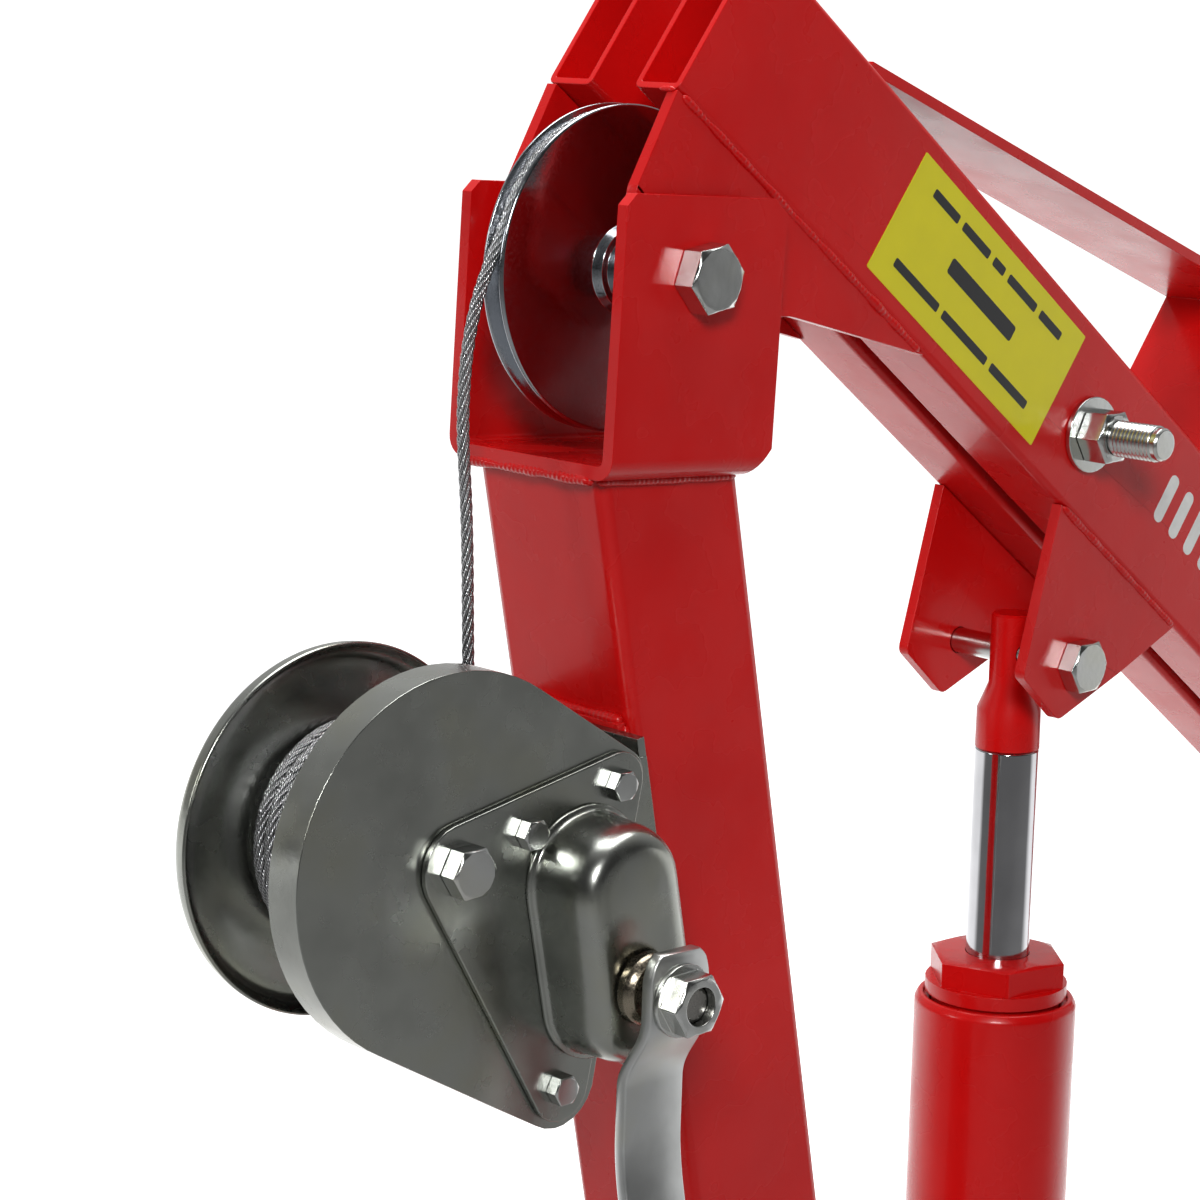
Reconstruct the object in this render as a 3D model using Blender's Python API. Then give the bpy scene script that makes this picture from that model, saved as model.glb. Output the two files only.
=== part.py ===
# Pickup-bed hoist crane: leaning mast on a swivel base, twin-tube boom, hydraulic ram,
# hand brake winch and a wire rope over a head sheave to a hook.
# Lengths are written in millimetres in a frame whose origin is the boom pivot, then moved so that the
# model's origin is the centre of the base plate's underside.  X forward, Y left, Z up.
import bpy, bmesh, math
from mathutils import Vector, Matrix
from mathutils.geometry import tessellate_polygon

for o in list(bpy.data.objects):
    bpy.data.objects.remove(o, do_unlink=True)

# ---------------------------------------------------------------- driving dimensions (mm, degrees)
GAP = 0.3                      # gap between neighbouring pieces
BASE_X, BASE_Z = 137.0, -1180.0   # base plate centre under the pivot frame
BOOM_PITCH = 38.5              # boom below the horizontal at rest
YOKE_TILT = 4.7                # yoke tips forward
MAST_LEAN = 9.47               # mast top leans back
RAM_LEAN = 1.74
MAST = 80.0                    # square tube
MAST_WALL = 5.0
MAST_TOP = (-4.3, -85.4)
YOKE_W, YOKE_T = 104.0, 6.0
YOKE_BACK, YOKE_FRONT, YOKE_TOP, YOKE_BOT = -44.0, 50.0, 33.7, -85.0
SHEAVE_R, SHEAVE_T, ROPE_LINE_R = 70.0, 12.4, 66.0
ROPE_R = 2.75
BOLT_R = 9.0                   # M18 pivot bolt
BOOM_BOT, BOOM_TOP, BOOM_HALF = 59.0, 139.0, 40.5
BOOM_REAR, BOOM_FRONT = -50.0, 900.0
SLOT_WIDE, SLOT_NARROW, WALL = 13.5, 4.2, 3.0
EAR_PIN = (343.0, 4.0)         # ram pin in the boom's own axes
RAM_LEN = 690.0                # pin to pin at rest
ROD_R, CYL_R = 16.0, 41.0
TIP = (872.0, 33.0)            # tip sheave centre in the boom's own axes
TIP_LINE_R = 33.0
DRUM = (-155.2, -117.6)        # drum axis in the mast's own axes
SHAFT = (-98.0, -184.0)        # crank shaft axis in the mast's own axes
GEAR_N, PINION_N = 48, 12


# ---------------------------------------------------------------- frames
def rot(deg):
    a = math.radians(deg)
    return math.cos(a), math.sin(a)


def world(p):
    return Vector(((p[0] - BASE_X) * 0.001, p[1] * 0.001, (p[2] - BASE_Z) * 0.001))


class Frame:
    """A frame in the XZ plane: u along (c, -s) and v along (s, c), Y shared."""
    def __init__(self, deg, origin=(0.0, 0.0)):
        self.c, self.s = rot(deg)
        self.o = origin

    def __call__(self, u, y, v):
        return (self.o[0] + u * self.c + v * self.s, y, self.o[1] - u * self.s + v * self.c)


def P(x, y, z):
    return (x, y, z)


B = Frame(BOOM_PITCH)
K = Frame(YOKE_TILT)
M = Frame(-MAST_LEAN, MAST_TOP)
ex, _, ez = B(EAR_PIN[0], 0, EAR_PIN[1])
R = Frame(RAM_LEAN, (ex, ez))


# ---------------------------------------------------------------- materials
def mat(name, rgb, metal, rough):
    m = bpy.data.materials.new(name)
    m.use_nodes = True
    b = m.node_tree.nodes["Principled BSDF"]
    b.inputs["Base Color"].default_value = (*rgb, 1.0)
    b.inputs["Metallic"].default_value = metal
    b.inputs["Roughness"].default_value = rough
    m.diffuse_color = (*rgb, 1.0)
    return m


RED, ZINC, BRIGHT = (0.58, 0.012, 0.012), (0.50, 0.52, 0.49), (0.62, 0.64, 0.66)
STEEL, ROPE, BLACK = (0.45, 0.45, 0.45), (0.36, 0.36, 0.35), (0.03, 0.03, 0.03)
LOOK = {"red": (RED, 0.0, 0.3), "zinc": (ZINC, 1.0, 0.32), "bright": (BRIGHT, 1.0, 0.15),
        "steel": (STEEL, 1.0, 0.4), "rope": (ROPE, 1.0, 0.45), "black": (BLACK, 0.0, 0.5)}


def finish(name, bm, look, smooth=None):
    bmesh.ops.remove_doubles(bm, verts=bm.verts, dist=1e-6)
    bmesh.ops.recalc_face_normals(bm, faces=bm.faces)
    if bm.calc_volume(signed=True) < 0:
        bmesh.ops.reverse_faces(bm, faces=bm.faces)
    me = bpy.data.meshes.new(name)
    bm.to_mesh(me)
    bm.free()
    ob = bpy.data.objects.new(name, me)
    bpy.context.collection.objects.link(ob)
    rgb, metal, rough = LOOK[look]
    me.materials.append(mat(name, rgb, metal, rough))
    if smooth is not None:
        for p in me.polygons:
            p.use_smooth = True
        me.set_sharp_from_angle(angle=math.radians(smooth))
    return ob


# ---------------------------------------------------------------- outline helpers (2-D)
def circle(cx, cy, r, n=32, a0=0.0):
    return [(cx + r * math.cos(a0 + 2 * math.pi * i / n), cy + r * math.sin(a0 + 2 * math.pi * i / n))
            for i in range(n)]


def arc(cx, cy, r, a0, a1, n):
    return [(cx + r * math.cos(math.radians(a0 + (a1 - a0) * i / n)),
             cy + r * math.sin(math.radians(a0 + (a1 - a0) * i / n))) for i in range(n + 1)]


def hull(points):
    pts = sorted(set((round(x, 6), round(y, 6)) for x, y in points))

    def half(seq):
        out = []
        for p in seq:
            while len(out) > 1 and ((out[-1][0] - out[-2][0]) * (p[1] - out[-2][1])
                                    - (out[-1][1] - out[-2][1]) * (p[0] - out[-2][0])) <= 1e-9:
                out.pop()
            out.append(p)
        return out[:-1]
    return half(pts) + half(reversed(pts))


def rounded(poly, r, n=4):
    """Polygon with its corners rounded; r is one radius or a list."""
    out, m = [], len(poly)
    for i, p in enumerate(poly):
        ri = r[i] if isinstance(r, (list, tuple)) else r
        a, b = Vector(poly[i - 1]), Vector(poly[(i + 1) % m])
        c = Vector(p)
        if ri <= 0:
            out.append(p)
            continue
        da, db = (a - c).normalized(), (b - c).normalized()
        ang = da.angle(db)
        t = ri / math.tan(ang / 2)
        p0, p1 = c + da * t, c + db * t
        ctr = c + (da + db).normalized() * (ri / math.sin(ang / 2))
        v0, v1 = p0 - ctr, p1 - ctr
        a0 = math.atan2(v0.y, v0.x)
        d = math.atan2(v0.x * v1.y - v0.y * v1.x, v0.dot(v1))
        for k in range(n + 1):
            q = a0 + d * k / n
            out.append((ctr.x + ri * math.cos(q), ctr.y + ri * math.sin(q)))
    return out


# ---------------------------------------------------------------- solid helpers
def plate(bm, outer, holes, F, y0, y1):
    """Flat plate with holes: outlines in the frame's (u, v) plane, thickness along Y from y0 to y1."""
    loops = [outer] + list(holes)
    vs = []
    for y in (y0, y1):
        vs.append([[bm.verts.new(world(F(u, y, v))) for u, v in lp] for lp in loops])
    flat = [[Vector((u, v, 0.0)) for u, v in lp] for lp in loops]
    tris = tessellate_polygon(flat)
    for k in (0, 1):
        allv = [v for lp in vs[k] for v in lp]
        for t in tris:
            try:
                bm.faces.new([allv[i] for i in t])
            except ValueError:
                pass
    for li in range(len(loops)):
        n = len(loops[li])
        for i in range(n):
            j = (i + 1) % n
            bm.faces.new([vs[0][li][i], vs[0][li][j], vs[1][li][j], vs[1][li][i]])


def solid_plate(name, outer, holes, F, y0, y1, look, smooth=30):
    bm = bmesh.new()
    plate(bm, outer, holes, F, y0, y1)
    return finish(name, bm, look, smooth)


def axes(axis):
    a = Vector(axis).normalized()
    e = Vector((0, 0, 1)) if abs(a.z) < 0.9 else Vector((1, 0, 0))
    e1 = a.cross(e).normalized()
    return a, e1, a.cross(e1).normalized()


def ring_pts(c, axis, r, h, n, a0=0.0):
    a, e1, e2 = axes(axis)
    c = Vector(c)
    return [c + a * h + (e1 * math.cos(a0 + 2 * math.pi * i / n) + e2 * math.sin(a0 + 2 * math.pi * i / n)) * r
            for i in range(n)]


def loft(bm, loops, closed=False, cap0=True, cap1=True):
    vs = [[bm.verts.new(world(p)) for p in lp] for lp in loops]
    n, m = len(vs[0]), len(vs)
    for k in range(m if closed else m - 1):
        a, b = vs[k], vs[(k + 1) % m]
        for i in range(n):
            j = (i + 1) % n
            bm.faces.new([a[i], a[j], b[j], b[i]])
    if not closed:
        if cap0:
            bm.faces.new(vs[0])
        if cap1:
            bm.faces.new(list(reversed(vs[-1])))


def turned(name, c, axis, prof, look, n=32, smooth=35, ring=False):
    """Turned piece from (radius, height) points; ring=True closes the profile round a bore."""
    bm = bmesh.new()
    loft(bm, [ring_pts(c, axis, r, h, n) for r, h in prof], closed=ring)
    return finish(name, bm, look, smooth)


def hexloop(c, axis, af, h, a0=0.0):
    return ring_pts(c, axis, af / math.sqrt(3), h, 6, a0)


def hexround(bm, hx, rd):
    """Faces between a hexagon (6 verts) and a circle (6k verts) lying in one plane."""
    k = len(rd) // 6
    for i in range(6):
        j = (i + 1) % 6
        for q in range(k):
            a, b = rd[(i * k + q) % len(rd)], rd[(i * k + q + 1) % len(rd)]
            if q < k // 2:
                bm.faces.new([hx[i], a, b])
            else:
                bm.faces.new([hx[j], a, b])
            if q == k // 2:
                bm.faces.new([hx[i], hx[j], a])


def mk(bm, pts):
    return [bm.verts.new(world(p)) for p in pts]


def skin(bm, a, b):
    n = len(a)
    for i in range(n):
        j = (i + 1) % n
        bm.faces.new([a[i], a[j], b[j], b[i]])


def bolt(name, c, axis, af, head, r, length, look="zinc", a0=0.0, seg=24, tail=None):
    """Hex bolt: c is the underside of the head, axis points from the shank to the head."""
    bm = bmesh.new()
    ch = head * 0.12
    top = mk(bm, ring_pts(c, axis, af / 2 * 0.96, head, seg, a0))
    hx1 = mk(bm, hexloop(c, axis, af, head - ch, a0))
    hx0 = mk(bm, hexloop(c, axis, af, 0, a0))
    s0 = mk(bm, ring_pts(c, axis, r, 0, seg, a0))
    bm.faces.new(top)
    hexround(bm, hx1, top)
    skin(bm, hx1, hx0)
    hexround(bm, hx0, s0)
    prev = s0
    steps = [(r, -length + 1.2), (r - 1.0, -length)] if tail is None else tail
    for rr, hh in steps:
        nx = mk(bm, ring_pts(c, axis, rr, hh, seg, a0))
        skin(bm, prev, nx)
        prev = nx
    bm.faces.new(prev)
    return finish(name, bm, look, 28)


def nut(name, c, axis, af, h, r, look="zinc", a0=0.0, seg=24, flange=0.0, ft=2.0):
    """Hex nut from c outward along axis, with a round washer face under it when flange > 0."""
    bm = bmesh.new()
    ch = h * 0.1
    b0 = mk(bm, ring_pts(c, axis, r, 0, seg, a0))
    b1 = mk(bm, ring_pts(c, axis, r, h, seg, a0))
    t1 = mk(bm, ring_pts(c, axis, af / 2 * 0.95, h, seg, a0))
    hx1 = mk(bm, hexloop(c, axis, af, h - ch, a0))
    z0 = ft if flange else 0.0
    hx0 = mk(bm, hexloop(c, axis, af, z0, a0))
    skin(bm, b0, b1)
    skin(bm, b1, t1)
    hexround(bm, hx1, t1)
    skin(bm, hx1, hx0)
    if flange:
        f1 = mk(bm, ring_pts(c, axis, flange, z0, seg, a0))
        f0 = mk(bm, ring_pts(c, axis, flange, 0, seg, a0))
        hexround(bm, hx0, f1)
        skin(bm, f1, f0)
        skin(bm, f0, b0)
    else:
        hexround(bm, hx0, b0)
    return finish(name, bm, look, 28)


def sweep(name, pts, r, look, n=8, smooth=60):
    """Round bar or rope along points, with flat ends."""
    pts = [Vector(p) for p in pts]
    loops, up = [], Vector((0, 1, 0))
    for i, p in enumerate(pts):
        t = (pts[min(i + 1, len(pts) - 1)] - pts[max(i - 1, 0)]).normalized()
        e1 = (up - t * up.dot(t)).normalized()
        e2 = t.cross(e1)
        up = e1
        loops.append([p + (e1 * math.cos(2 * math.pi * k / n) + e2 * math.sin(2 * math.pi * k / n)) * r
                      for k in range(n)])
    bm = bmesh.new()
    loft(bm, loops)
    return finish(name, bm, look, smooth)


def gear_outline(c, n, rp, add, ded, phase, tip=0.17, root=0.30):
    out = []
    p = 2 * math.pi / n
    for i in range(n):
        a = phase + i * p
        for da, r in ((-root, rp - ded), (-tip, rp + add), (tip, rp + add), (root, rp - ded)):
            out.append((c[0] + r * math.cos(a + da * p), c[1] + r * math.sin(a + da * p)))
    return out


def join(name, parts, look, smooth=30):
    """Weld several solids into one closed body."""
    base = parts[0]
    for q in parts[1:]:
        md = base.modifiers.new("weld", "BOOLEAN")
        md.operation, md.solver, md.object = "UNION", "EXACT", q
        bpy.context.view_layer.update()
        dg = bpy.context.evaluated_depsgraph_get()
        me = bpy.data.meshes.new_from_object(base.evaluated_get(dg))
        base.modifiers.clear()
        base.data = me
        bpy.data.objects.remove(q, do_unlink=True)
    base.name = name
    me = base.data
    me.name = name
    while len(me.materials) > 1:
        me.materials.pop(index=len(me.materials) - 1)
    for p in me.polygons:
        p.material_index = 0
        p.use_smooth = True
    me.materials[0].name = name
    me.set_sharp_from_angle(angle=math.radians(smooth))
    return base


def box_tube(name, F, y0, y1, v0, v1, u0, u1, wall, look, r=4.0):
    """Rectangular hollow section along the frame's v axis (v from v0 to v1)."""
    bm = bmesh.new()
    o = rounded([(u0, y0), (u1, y0), (u1, y1), (u0, y1)], r, 3)
    i = rounded([(u0 + wall, y0 + wall), (u1 - wall, y0 + wall), (u1 - wall, y1 - wall), (u0 + wall, y1 - wall)],
                max(r - wall, 0.6), 3)
    loft(bm, [[F(u, y, v0) for u, y in o], [F(u, y, v1) for u, y in o],
              [F(u, y, v1) for u, y in i], [F(u, y, v0) for u, y in i]], closed=True)
    return finish(name, bm, look, 30)


YP, YM = (0, 1, 0), (0, -1, 0)
UP = (0, 0, 1)
bx, bz = BASE_X, BASE_Z

# ---------------------------------------------------------------- swivel base
T_BASE = 10.0
bm = bmesh.new()
loop = rounded([(-150, -150), (150, -150), (150, 150), (-150, 150)], 18, 4)
holes = [circle(sx * 120, sy * 120, 9.0, 24) for sx in (-1, 1) for sy in (-1, 1)]
vs = []
for z in (bz, bz + T_BASE):
    vs.append([[bm.verts.new(world((bx + u, v, z))) for u, v in lp] for lp in [loop] + holes])
tris = tessellate_polygon([[Vector((u, v, 0)) for u, v in lp] for lp in [loop] + holes])
for k in (0, 1):
    allv = [v for lp in vs[k] for v in lp]
    for t in tris:
        bm.faces.new([allv[i] for i in t])
for li in range(5):
    n = len(vs[0][li])
    for i in range(n):
        bm.faces.new([vs[0][li][i], vs[0][li][(i + 1) % n], vs[1][li][(i + 1) % n], vs[1][li][i]])
finish("base_plate", bm, "red", 30)

zb = bz + T_BASE + GAP
SPIG_R, SLEEVE_R, SLEEVE_T = 40.0, 46.0, 5.4
SLEEVE_BOT, SLEEVE_TOP = zb + 62.0, -938.0
spig = turned("spigot_tube", (bx, 0, 0), UP, [(SPIG_R, zb), (SPIG_R, SLEEVE_TOP - 12), (SPIG_R - 5, SLEEVE_TOP - 12),
                                            (SPIG_R - 5, zb)], "red", 40, ring=True)
parts = [spig]
collar = turned("collar", (bx, 0, 0), UP, [(SPIG_R - 2, SLEEVE_BOT - 8), (SPIG_R + 8, SLEEVE_BOT - 8),
                                          (SPIG_R + 8, SLEEVE_BOT - 0.5), (SPIG_R - 2, SLEEVE_BOT - 0.5)], "red", 40, ring=True)
parts.append(collar)
for k in range(4):
    a = math.radians(45 + 90 * k)
    ca, sa = math.cos(a), math.sin(a)
    prof = [(SPIG_R - 2, zb + 0.2), (SPIG_R + 66, zb + 0.2), (SPIG_R + 66, zb + 10), (SPIG_R + 6, zb + 46), (SPIG_R - 2, zb + 46)]
    bm = bmesh.new()
    loft(bm, [[(bx + r * ca - t * sa, r * sa + t * ca, z) for r, z in prof] for t in (-3, 3)])
    parts.append(finish("gusset", bm, "red"))
join("base_spigot", parts, "red")

# ---------------------------------------------------------------- mast weldment
sl = turned("sleeve", (bx, 0, 0), UP, [(SLEEVE_R, SLEEVE_BOT), (SLEEVE_R, SLEEVE_TOP + 2), (SLEEVE_R - SLEEVE_T, SLEEVE_TOP + 2),
                                      (SLEEVE_R - SLEEVE_T, SLEEVE_BOT)], "red", 40, ring=True)
cap_out = rounded([(bx - 56, SLEEVE_TOP), (bx + 56, SLEEVE_TOP), (bx + 56, SLEEVE_TOP + 8), (bx - 56, SLEEVE_TOP + 8)], 0)
cap = solid_plate("cap", cap_out, [], Frame(0), -52, 52, "red")
boss = turned("boss", (bx, 0, SLEEVE_BOT + 40), (-1, 0, 0), [(14, SLEEVE_R - 3), (14, SLEEVE_R + 10), (8.4, SLEEVE_R + 10),
                                                            (8.4, SLEEVE_R - 3)], "red", 24, ring=True)
cutter = turned("cutter", (bx, 0, SLEEVE_BOT + 40), (-1, 0, 0), [(8.4, SLEEVE_R - 12), (8.4, SLEEVE_R + 14)], "red", 24)
sleeve = join("swivel_sleeve", [sl, cap, boss], "red")
md = sleeve.modifiers.new("hole", "BOOLEAN")
md.operation, md.solver, md.object = "DIFFERENCE", "EXACT", cutter
bpy.context.view_layer.update()
me = bpy.data.meshes.new_from_object(sleeve.evaluated_get(bpy.context.evaluated_depsgraph_get()))
sleeve.modifiers.clear()
sleeve.data = me
me.name = "swivel_sleeve"
bpy.data.objects.remove(cutter, do_unlink=True)
while len(me.materials) > 1:
    me.materials.pop(index=len(me.materials) - 1)
for p in me.polygons:
    p.material_index = 0
    p.use_smooth = True
me.set_sharp_from_angle(angle=math.radians(30))

# mast tube: mitred at the bottom to stand flat on the cap, and at the top to meet the yoke's underside
h = MAST / 2
o = rounded([(-h, -h), (h, -h), (h, h), (-h, h)], 6, 3)
i_ = rounded([(-h + MAST_WALL, -h + MAST_WALL), (h - MAST_WALL, -h + MAST_WALL), (h - MAST_WALL, h - MAST_WALL),
              (-h + MAST_WALL, h - MAST_WALL)], 2, 3)
zc = SLEEVE_TOP + 8 + GAP
cm, sm = rot(MAST_LEAN)


def mast_bottom(u, y):
    # point on the tube's line u where world z equals the cap's top
    v = (zc - MAST_TOP[1] - u * sm) / cm
    return M(u, y, v)


def mast_top(u, y):
    # point where the line meets the plane just under the yoke
    ck, sk = rot(YOKE_TILT)
    lim = YOKE_BOT - GAP
    bx_, _, bz_ = M(u, y, 0)
    ax_, az_ = -sm, cm
    val = bx_ * sk + bz_ * ck
    t = (lim - val) / (ax_ * sk + az_ * ck)
    return M(u, y, t)


bm = bmesh.new()
loft(bm, [[mast_bottom(u, y) for u, y in o], [mast_top(u, y) for u, y in o],
          [mast_top(u, y) for u, y in i_], [mast_bottom(u, y) for u, y in i_]], closed=True)
finish("mast_tube", bm, "red", 30)

# yoke: one plate bent into a U, holes for the pivot bolt
YW, YT = YOKE_W / 2, YOKE_T
ro, ri = 9.0, 3.0
outl = [(-YW, YOKE_TOP)] + [(-YW + ro - ro * math.cos(a), YOKE_BOT + ro - ro * math.sin(a))
                            for a in [math.radians(15 * k) for k in range(7)]]
outl += [(-x, z) for x, z in reversed(outl)]
inl = [(-YW + YT, YOKE_TOP)] + [(-YW + YT + ri - ri * math.cos(a), YOKE_BOT + YT + ri - ri * math.sin(a))
                                for a in [math.radians(15 * k) for k in range(7)]]
inl += [(-x, z) for x, z in reversed(inl)]
prof = outl + list(reversed(inl))
bm = bmesh.new()
loft(bm, [[K(u, y, v) for y, v in prof] for u in (YOKE_BACK, YOKE_FRONT)])
yoke = finish("yoke", bm, "red", 30)


def cut(ob, cutters, name):
    for q in cutters:
        md = ob.modifiers.new("cut", "BOOLEAN")
        md.operation, md.solver, md.object = "DIFFERENCE", "EXACT", q
        bpy.context.view_layer.update()
        me = bpy.data.meshes.new_from_object(ob.evaluated_get(bpy.context.evaluated_depsgraph_get()))
        ob.modifiers.clear()
        ob.data = me
        bpy.data.objects.remove(q, do_unlink=True)
    me = ob.data
    me.name = name
    while len(me.materials) > 1:
        me.materials.pop(index=len(me.materials) - 1)
    for p in me.polygons:
        p.material_index = 0
        p.use_smooth = True
    me.set_sharp_from_angle(angle=math.radians(30))


def wedge(u, v, du, dv):
    """Cutter that trims a corner of the yoke's arms right across."""
    bm = bmesh.new()
    tri = [(u, v), (u + du, v), (u, v + dv)]
    loft(bm, [[K(a, y, b) for a, b in tri] for y in (-YW - 5, YW + 5)])
    return finish("cutter", bm, "red")


hole = turned("cutter", (0, 0, 0), YP, [(BOLT_R + GAP, -YW - 5), (BOLT_R + GAP, YW + 5)], "red", 32)
cut(yoke, [hole, wedge(YOKE_FRONT + 1, YOKE_TOP + 1, -10, -8), wedge(YOKE_BACK - 1, YOKE_TOP + 1, 7, -7),
           wedge(YOKE_FRONT + 1, YOKE_BOT - 1, -12, 14)], "yoke")

# ram foot bracket: two ears joined by a back strip against the mast's front face
FOOT = R(0, 0, -RAM_LEN)
fx, fz = FOOT[0], FOOT[2]
FOOT_PIN_R = 8.0
EAR_Y, EAR_T = 17.5, 6.0


def front_face(z):
    return M(h, 0, (z - MAST_TOP[1] - h * sm) / cm)[0]


ear = [(front_face(fz + 40) + GAP, fz + 40), (front_face(fz - 25) + GAP, fz - 25), (fx - 6, fz - 38), (fx + 26, fz - 38),
       (fx + 46, fz - 20), (fx + 46, fz + 8), (fx + 34, fz + 20), (fx - 60, fz + 20)]
Z0 = Frame(0)
ears = []
for sgn in (-1, 1):
    y0, y1 = sorted((sgn * EAR_Y, sgn * (EAR_Y + EAR_T)))
    ears.append(solid_plate("ear", ear, [circle(fx, fz, FOOT_PIN_R + GAP, 24)], Z0, y0, y1, "red"))
za, zb2 = fz + 39, fz - 24
strip = [(front_face(za) + GAP, za), (front_face(zb2) + GAP, zb2), (front_face(zb2) + 6, zb2), (front_face(za) + 6, za)]
ears.append(solid_plate("strip", strip, [], Z0, -EAR_Y - 3, EAR_Y + 3, "red"))
join("ram_foot_bracket", ears, "red")
bolt("ram_foot_pin", (fx, -(EAR_Y + EAR_T + GAP), fz), YM, 24, 9, FOOT_PIN_R, 2 * (EAR_Y + EAR_T) + 14)

# winch mounting plate welded to the mast's rear face
MP = [(-h - GAP - 4, -98), (-h - GAP, -98), (-h - GAP, -252), (-h - GAP - 4, -252)]
solid_plate("winch_mount_plate", MP, [], M, -36, 36, "red")

# swivel lock: T-handled screw in the sleeve's boss
lz = SLEEVE_BOT + 40
lk = turned("screw", (bx, 0, lz), (-1, 0, 0), [(7.0, SPIG_R + 0.8), (8.0, SPIG_R + 1.8), (8.0, SLEEVE_R + 30), (7.0, SLEEVE_R + 31)],
            "zinc", 20)
tb = turned("bar", (bx - SLEEVE_R - 24, 0, lz), YP, [(3.0, -36), (4.0, -35), (4.0, 35), (3.0, 36)], "zinc", 16)
join("swivel_lock_screw", [lk, tb], "zinc")

# ---------------------------------------------------------------- pivot bolt and head sheave
bolt("pivot_bolt", (0, -YW - GAP, 0), YM, 27, 11.5, BOLT_R, 2 * YW + 24, a0=math.radians(8))
nut("pivot_nut", (0, YW + GAP, 0), YP, 27, 14, BOLT_R + GAP)
st = SHEAVE_T / 2
prof = [(BOLT_R + 0.35, -34.2), (15, -34.2), (15, -11), (18, -11), (19, -st), (SHEAVE_R, -st), (SHEAVE_R, -st + 2.2), (62.6, -2.4), (62.6, 2.4),
        (SHEAVE_R, st - 2.2), (SHEAVE_R, st), (19, st), (18, 11), (15, 11), (15, 34.2), (BOLT_R + 0.35, 34.2)]
turned("head_sheave", (0, 0, 0), YP, prof, "bright", 48, ring=True)

# ---------------------------------------------------------------- boom
BW = 1.6


def boom_tube(name, s):
    st_ = [(BOOM_REAR, SLOT_WIDE), (96, SLOT_WIDE), (132, SLOT_NARROW), (790, SLOT_NARROW), (826, SLOT_WIDE), (BOOM_FRONT, SLOT_WIDE)]
    outer, inner = [], []
    for u, yi in st_:
        oo = rounded([(yi, BOOM_BOT), (BOOM_HALF, BOOM_BOT), (BOOM_HALF, BOOM_TOP), (yi, BOOM_TOP)], 3.5, 3)
        ii = rounded([(yi + WALL, BOOM_BOT + WALL), (BOOM_HALF - WALL, BOOM_BOT + WALL),
                      (BOOM_HALF - WALL, BOOM_TOP - WALL), (yi + WALL, BOOM_TOP - WALL)], 1.0, 3)
        outer.append([B(u, s * y, v) for y, v in oo])
        inner.append([B(u, s * y, v) for y, v in ii])
    bm = bmesh.new()
    loft(bm, outer + list(reversed(inner)), closed=True)
    ob = finish(name, bm, "red", 30)
    c = turned("cutter", B(XB[0], 0, XB[1]), YP, [(8.0 + GAP, -60), (8.0 + GAP, 60)], "red", 24)
    cut(ob, [c], name)
    return ob


XB = (276.0, 96.0)
boom_tube("boom_tube_right", -1)
boom_tube("boom_tube_left", 1)

CH = rounded([(-50, BOOM_BOT - GAP), (-44, 14), (-26, -24), (26, -24), (62, 22), (150, BOOM_BOT - GAP)], [0, 10, 16, 16, 30, 0], 4)
for nm, s in (("boom_cheek_right", -1), ("boom_cheek_left", 1)):
    y0, y1 = sorted((s * 34.6, s * 40.6))
    solid_plate(nm, CH, [circle(0, 0, BOLT_R + GAP, 28)], B, y0, y1, "red")

EAR = rounded([(281, BOOM_BOT - GAP), (312, -21), (350, -24), (376, 17), (400, BOOM_BOT - GAP)], [0, 5, 5, 5, 0], 3)
for nm, s in (("ram_ear_right", -1), ("ram_ear_left", 1)):
    y0, y1 = sorted((s * 34.5, s * 40.5))
    solid_plate(nm, EAR, [circle(EAR_PIN[0], EAR_PIN[1], 6.5 + GAP, 24)], B, y0, y1, "red")
pr = B(EAR_PIN[0], -40.5 - GAP, EAR_PIN[1])
bolt("ram_top_bolt", pr, YM, 24, 9.5, 6.5, 108)
nut("ram_top_nut", B(EAR_PIN[0], 40.5 + GAP, EAR_PIN[1]), YP, 22, 12, 6.5 + GAP)

# king-post truss: a flat bar bent over a post on the boom's top
TB, TT = 33.0, 5.0


def bar_line(a, b, t):
    d = Vector((b[0] - a[0], b[1] - a[1])).normalized()
    return Vector((-d.y, d.x)) * t


pA, pB, pC = (46.0, BOOM_TOP + GAP), (369.0, 231.0), (692.0, BOOM_TOP + GAP)
n1 = bar_line(pA, pB, TT)
n2 = bar_line(pB, pC, TT)
topB = (pB[0], pB[1] + TT / math.cos(math.atan2(pB[1] - pA[1], pB[0] - pA[0])))
truss = [pA, (pA[0] + 60, pA[1] + 60 * (pB[1] - pA[1]) / (pB[0] - pA[0])), pB,
         (pC[0] - 60, pC[1] + 60 * (pB[1] - pA[1]) / (pB[0] - pA[0])), pC, (pC[0] + n2.x, pC[1] + n2.y), topB,
         (pA[0] + n1.x, pA[1] + n1.y)]
tr = solid_plate("bar", truss, [], B, -TB, TB, "red", 50)
post = solid_plate("post", [(366, BOOM_TOP + GAP), (372, BOOM_TOP + GAP), (372, 233), (366, 233)], [], B, -TB + 0.2, TB - 0.2, "red")
join("truss_brace", [tr, post], "red", 30)

bolt("boom_cross_bolt", B(XB[0], BOOM_HALF + GAP, XB[1]), YP, 24, 10, 8.0, 2 * BOOM_HALF + 46)
turned("cross_bolt_washer", B(XB[0], -BOOM_HALF - GAP, XB[1]), YM, [(8.3, 0), (18.5, 0), (18.5, 2.6), (8.3, 2.6)], "zinc", 32, ring=True)
nut("cross_bolt_nut", B(XB[0], -BOOM_HALF - 3.2, XB[1]), YM, 24, 14, 8.0 + GAP)

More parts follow.
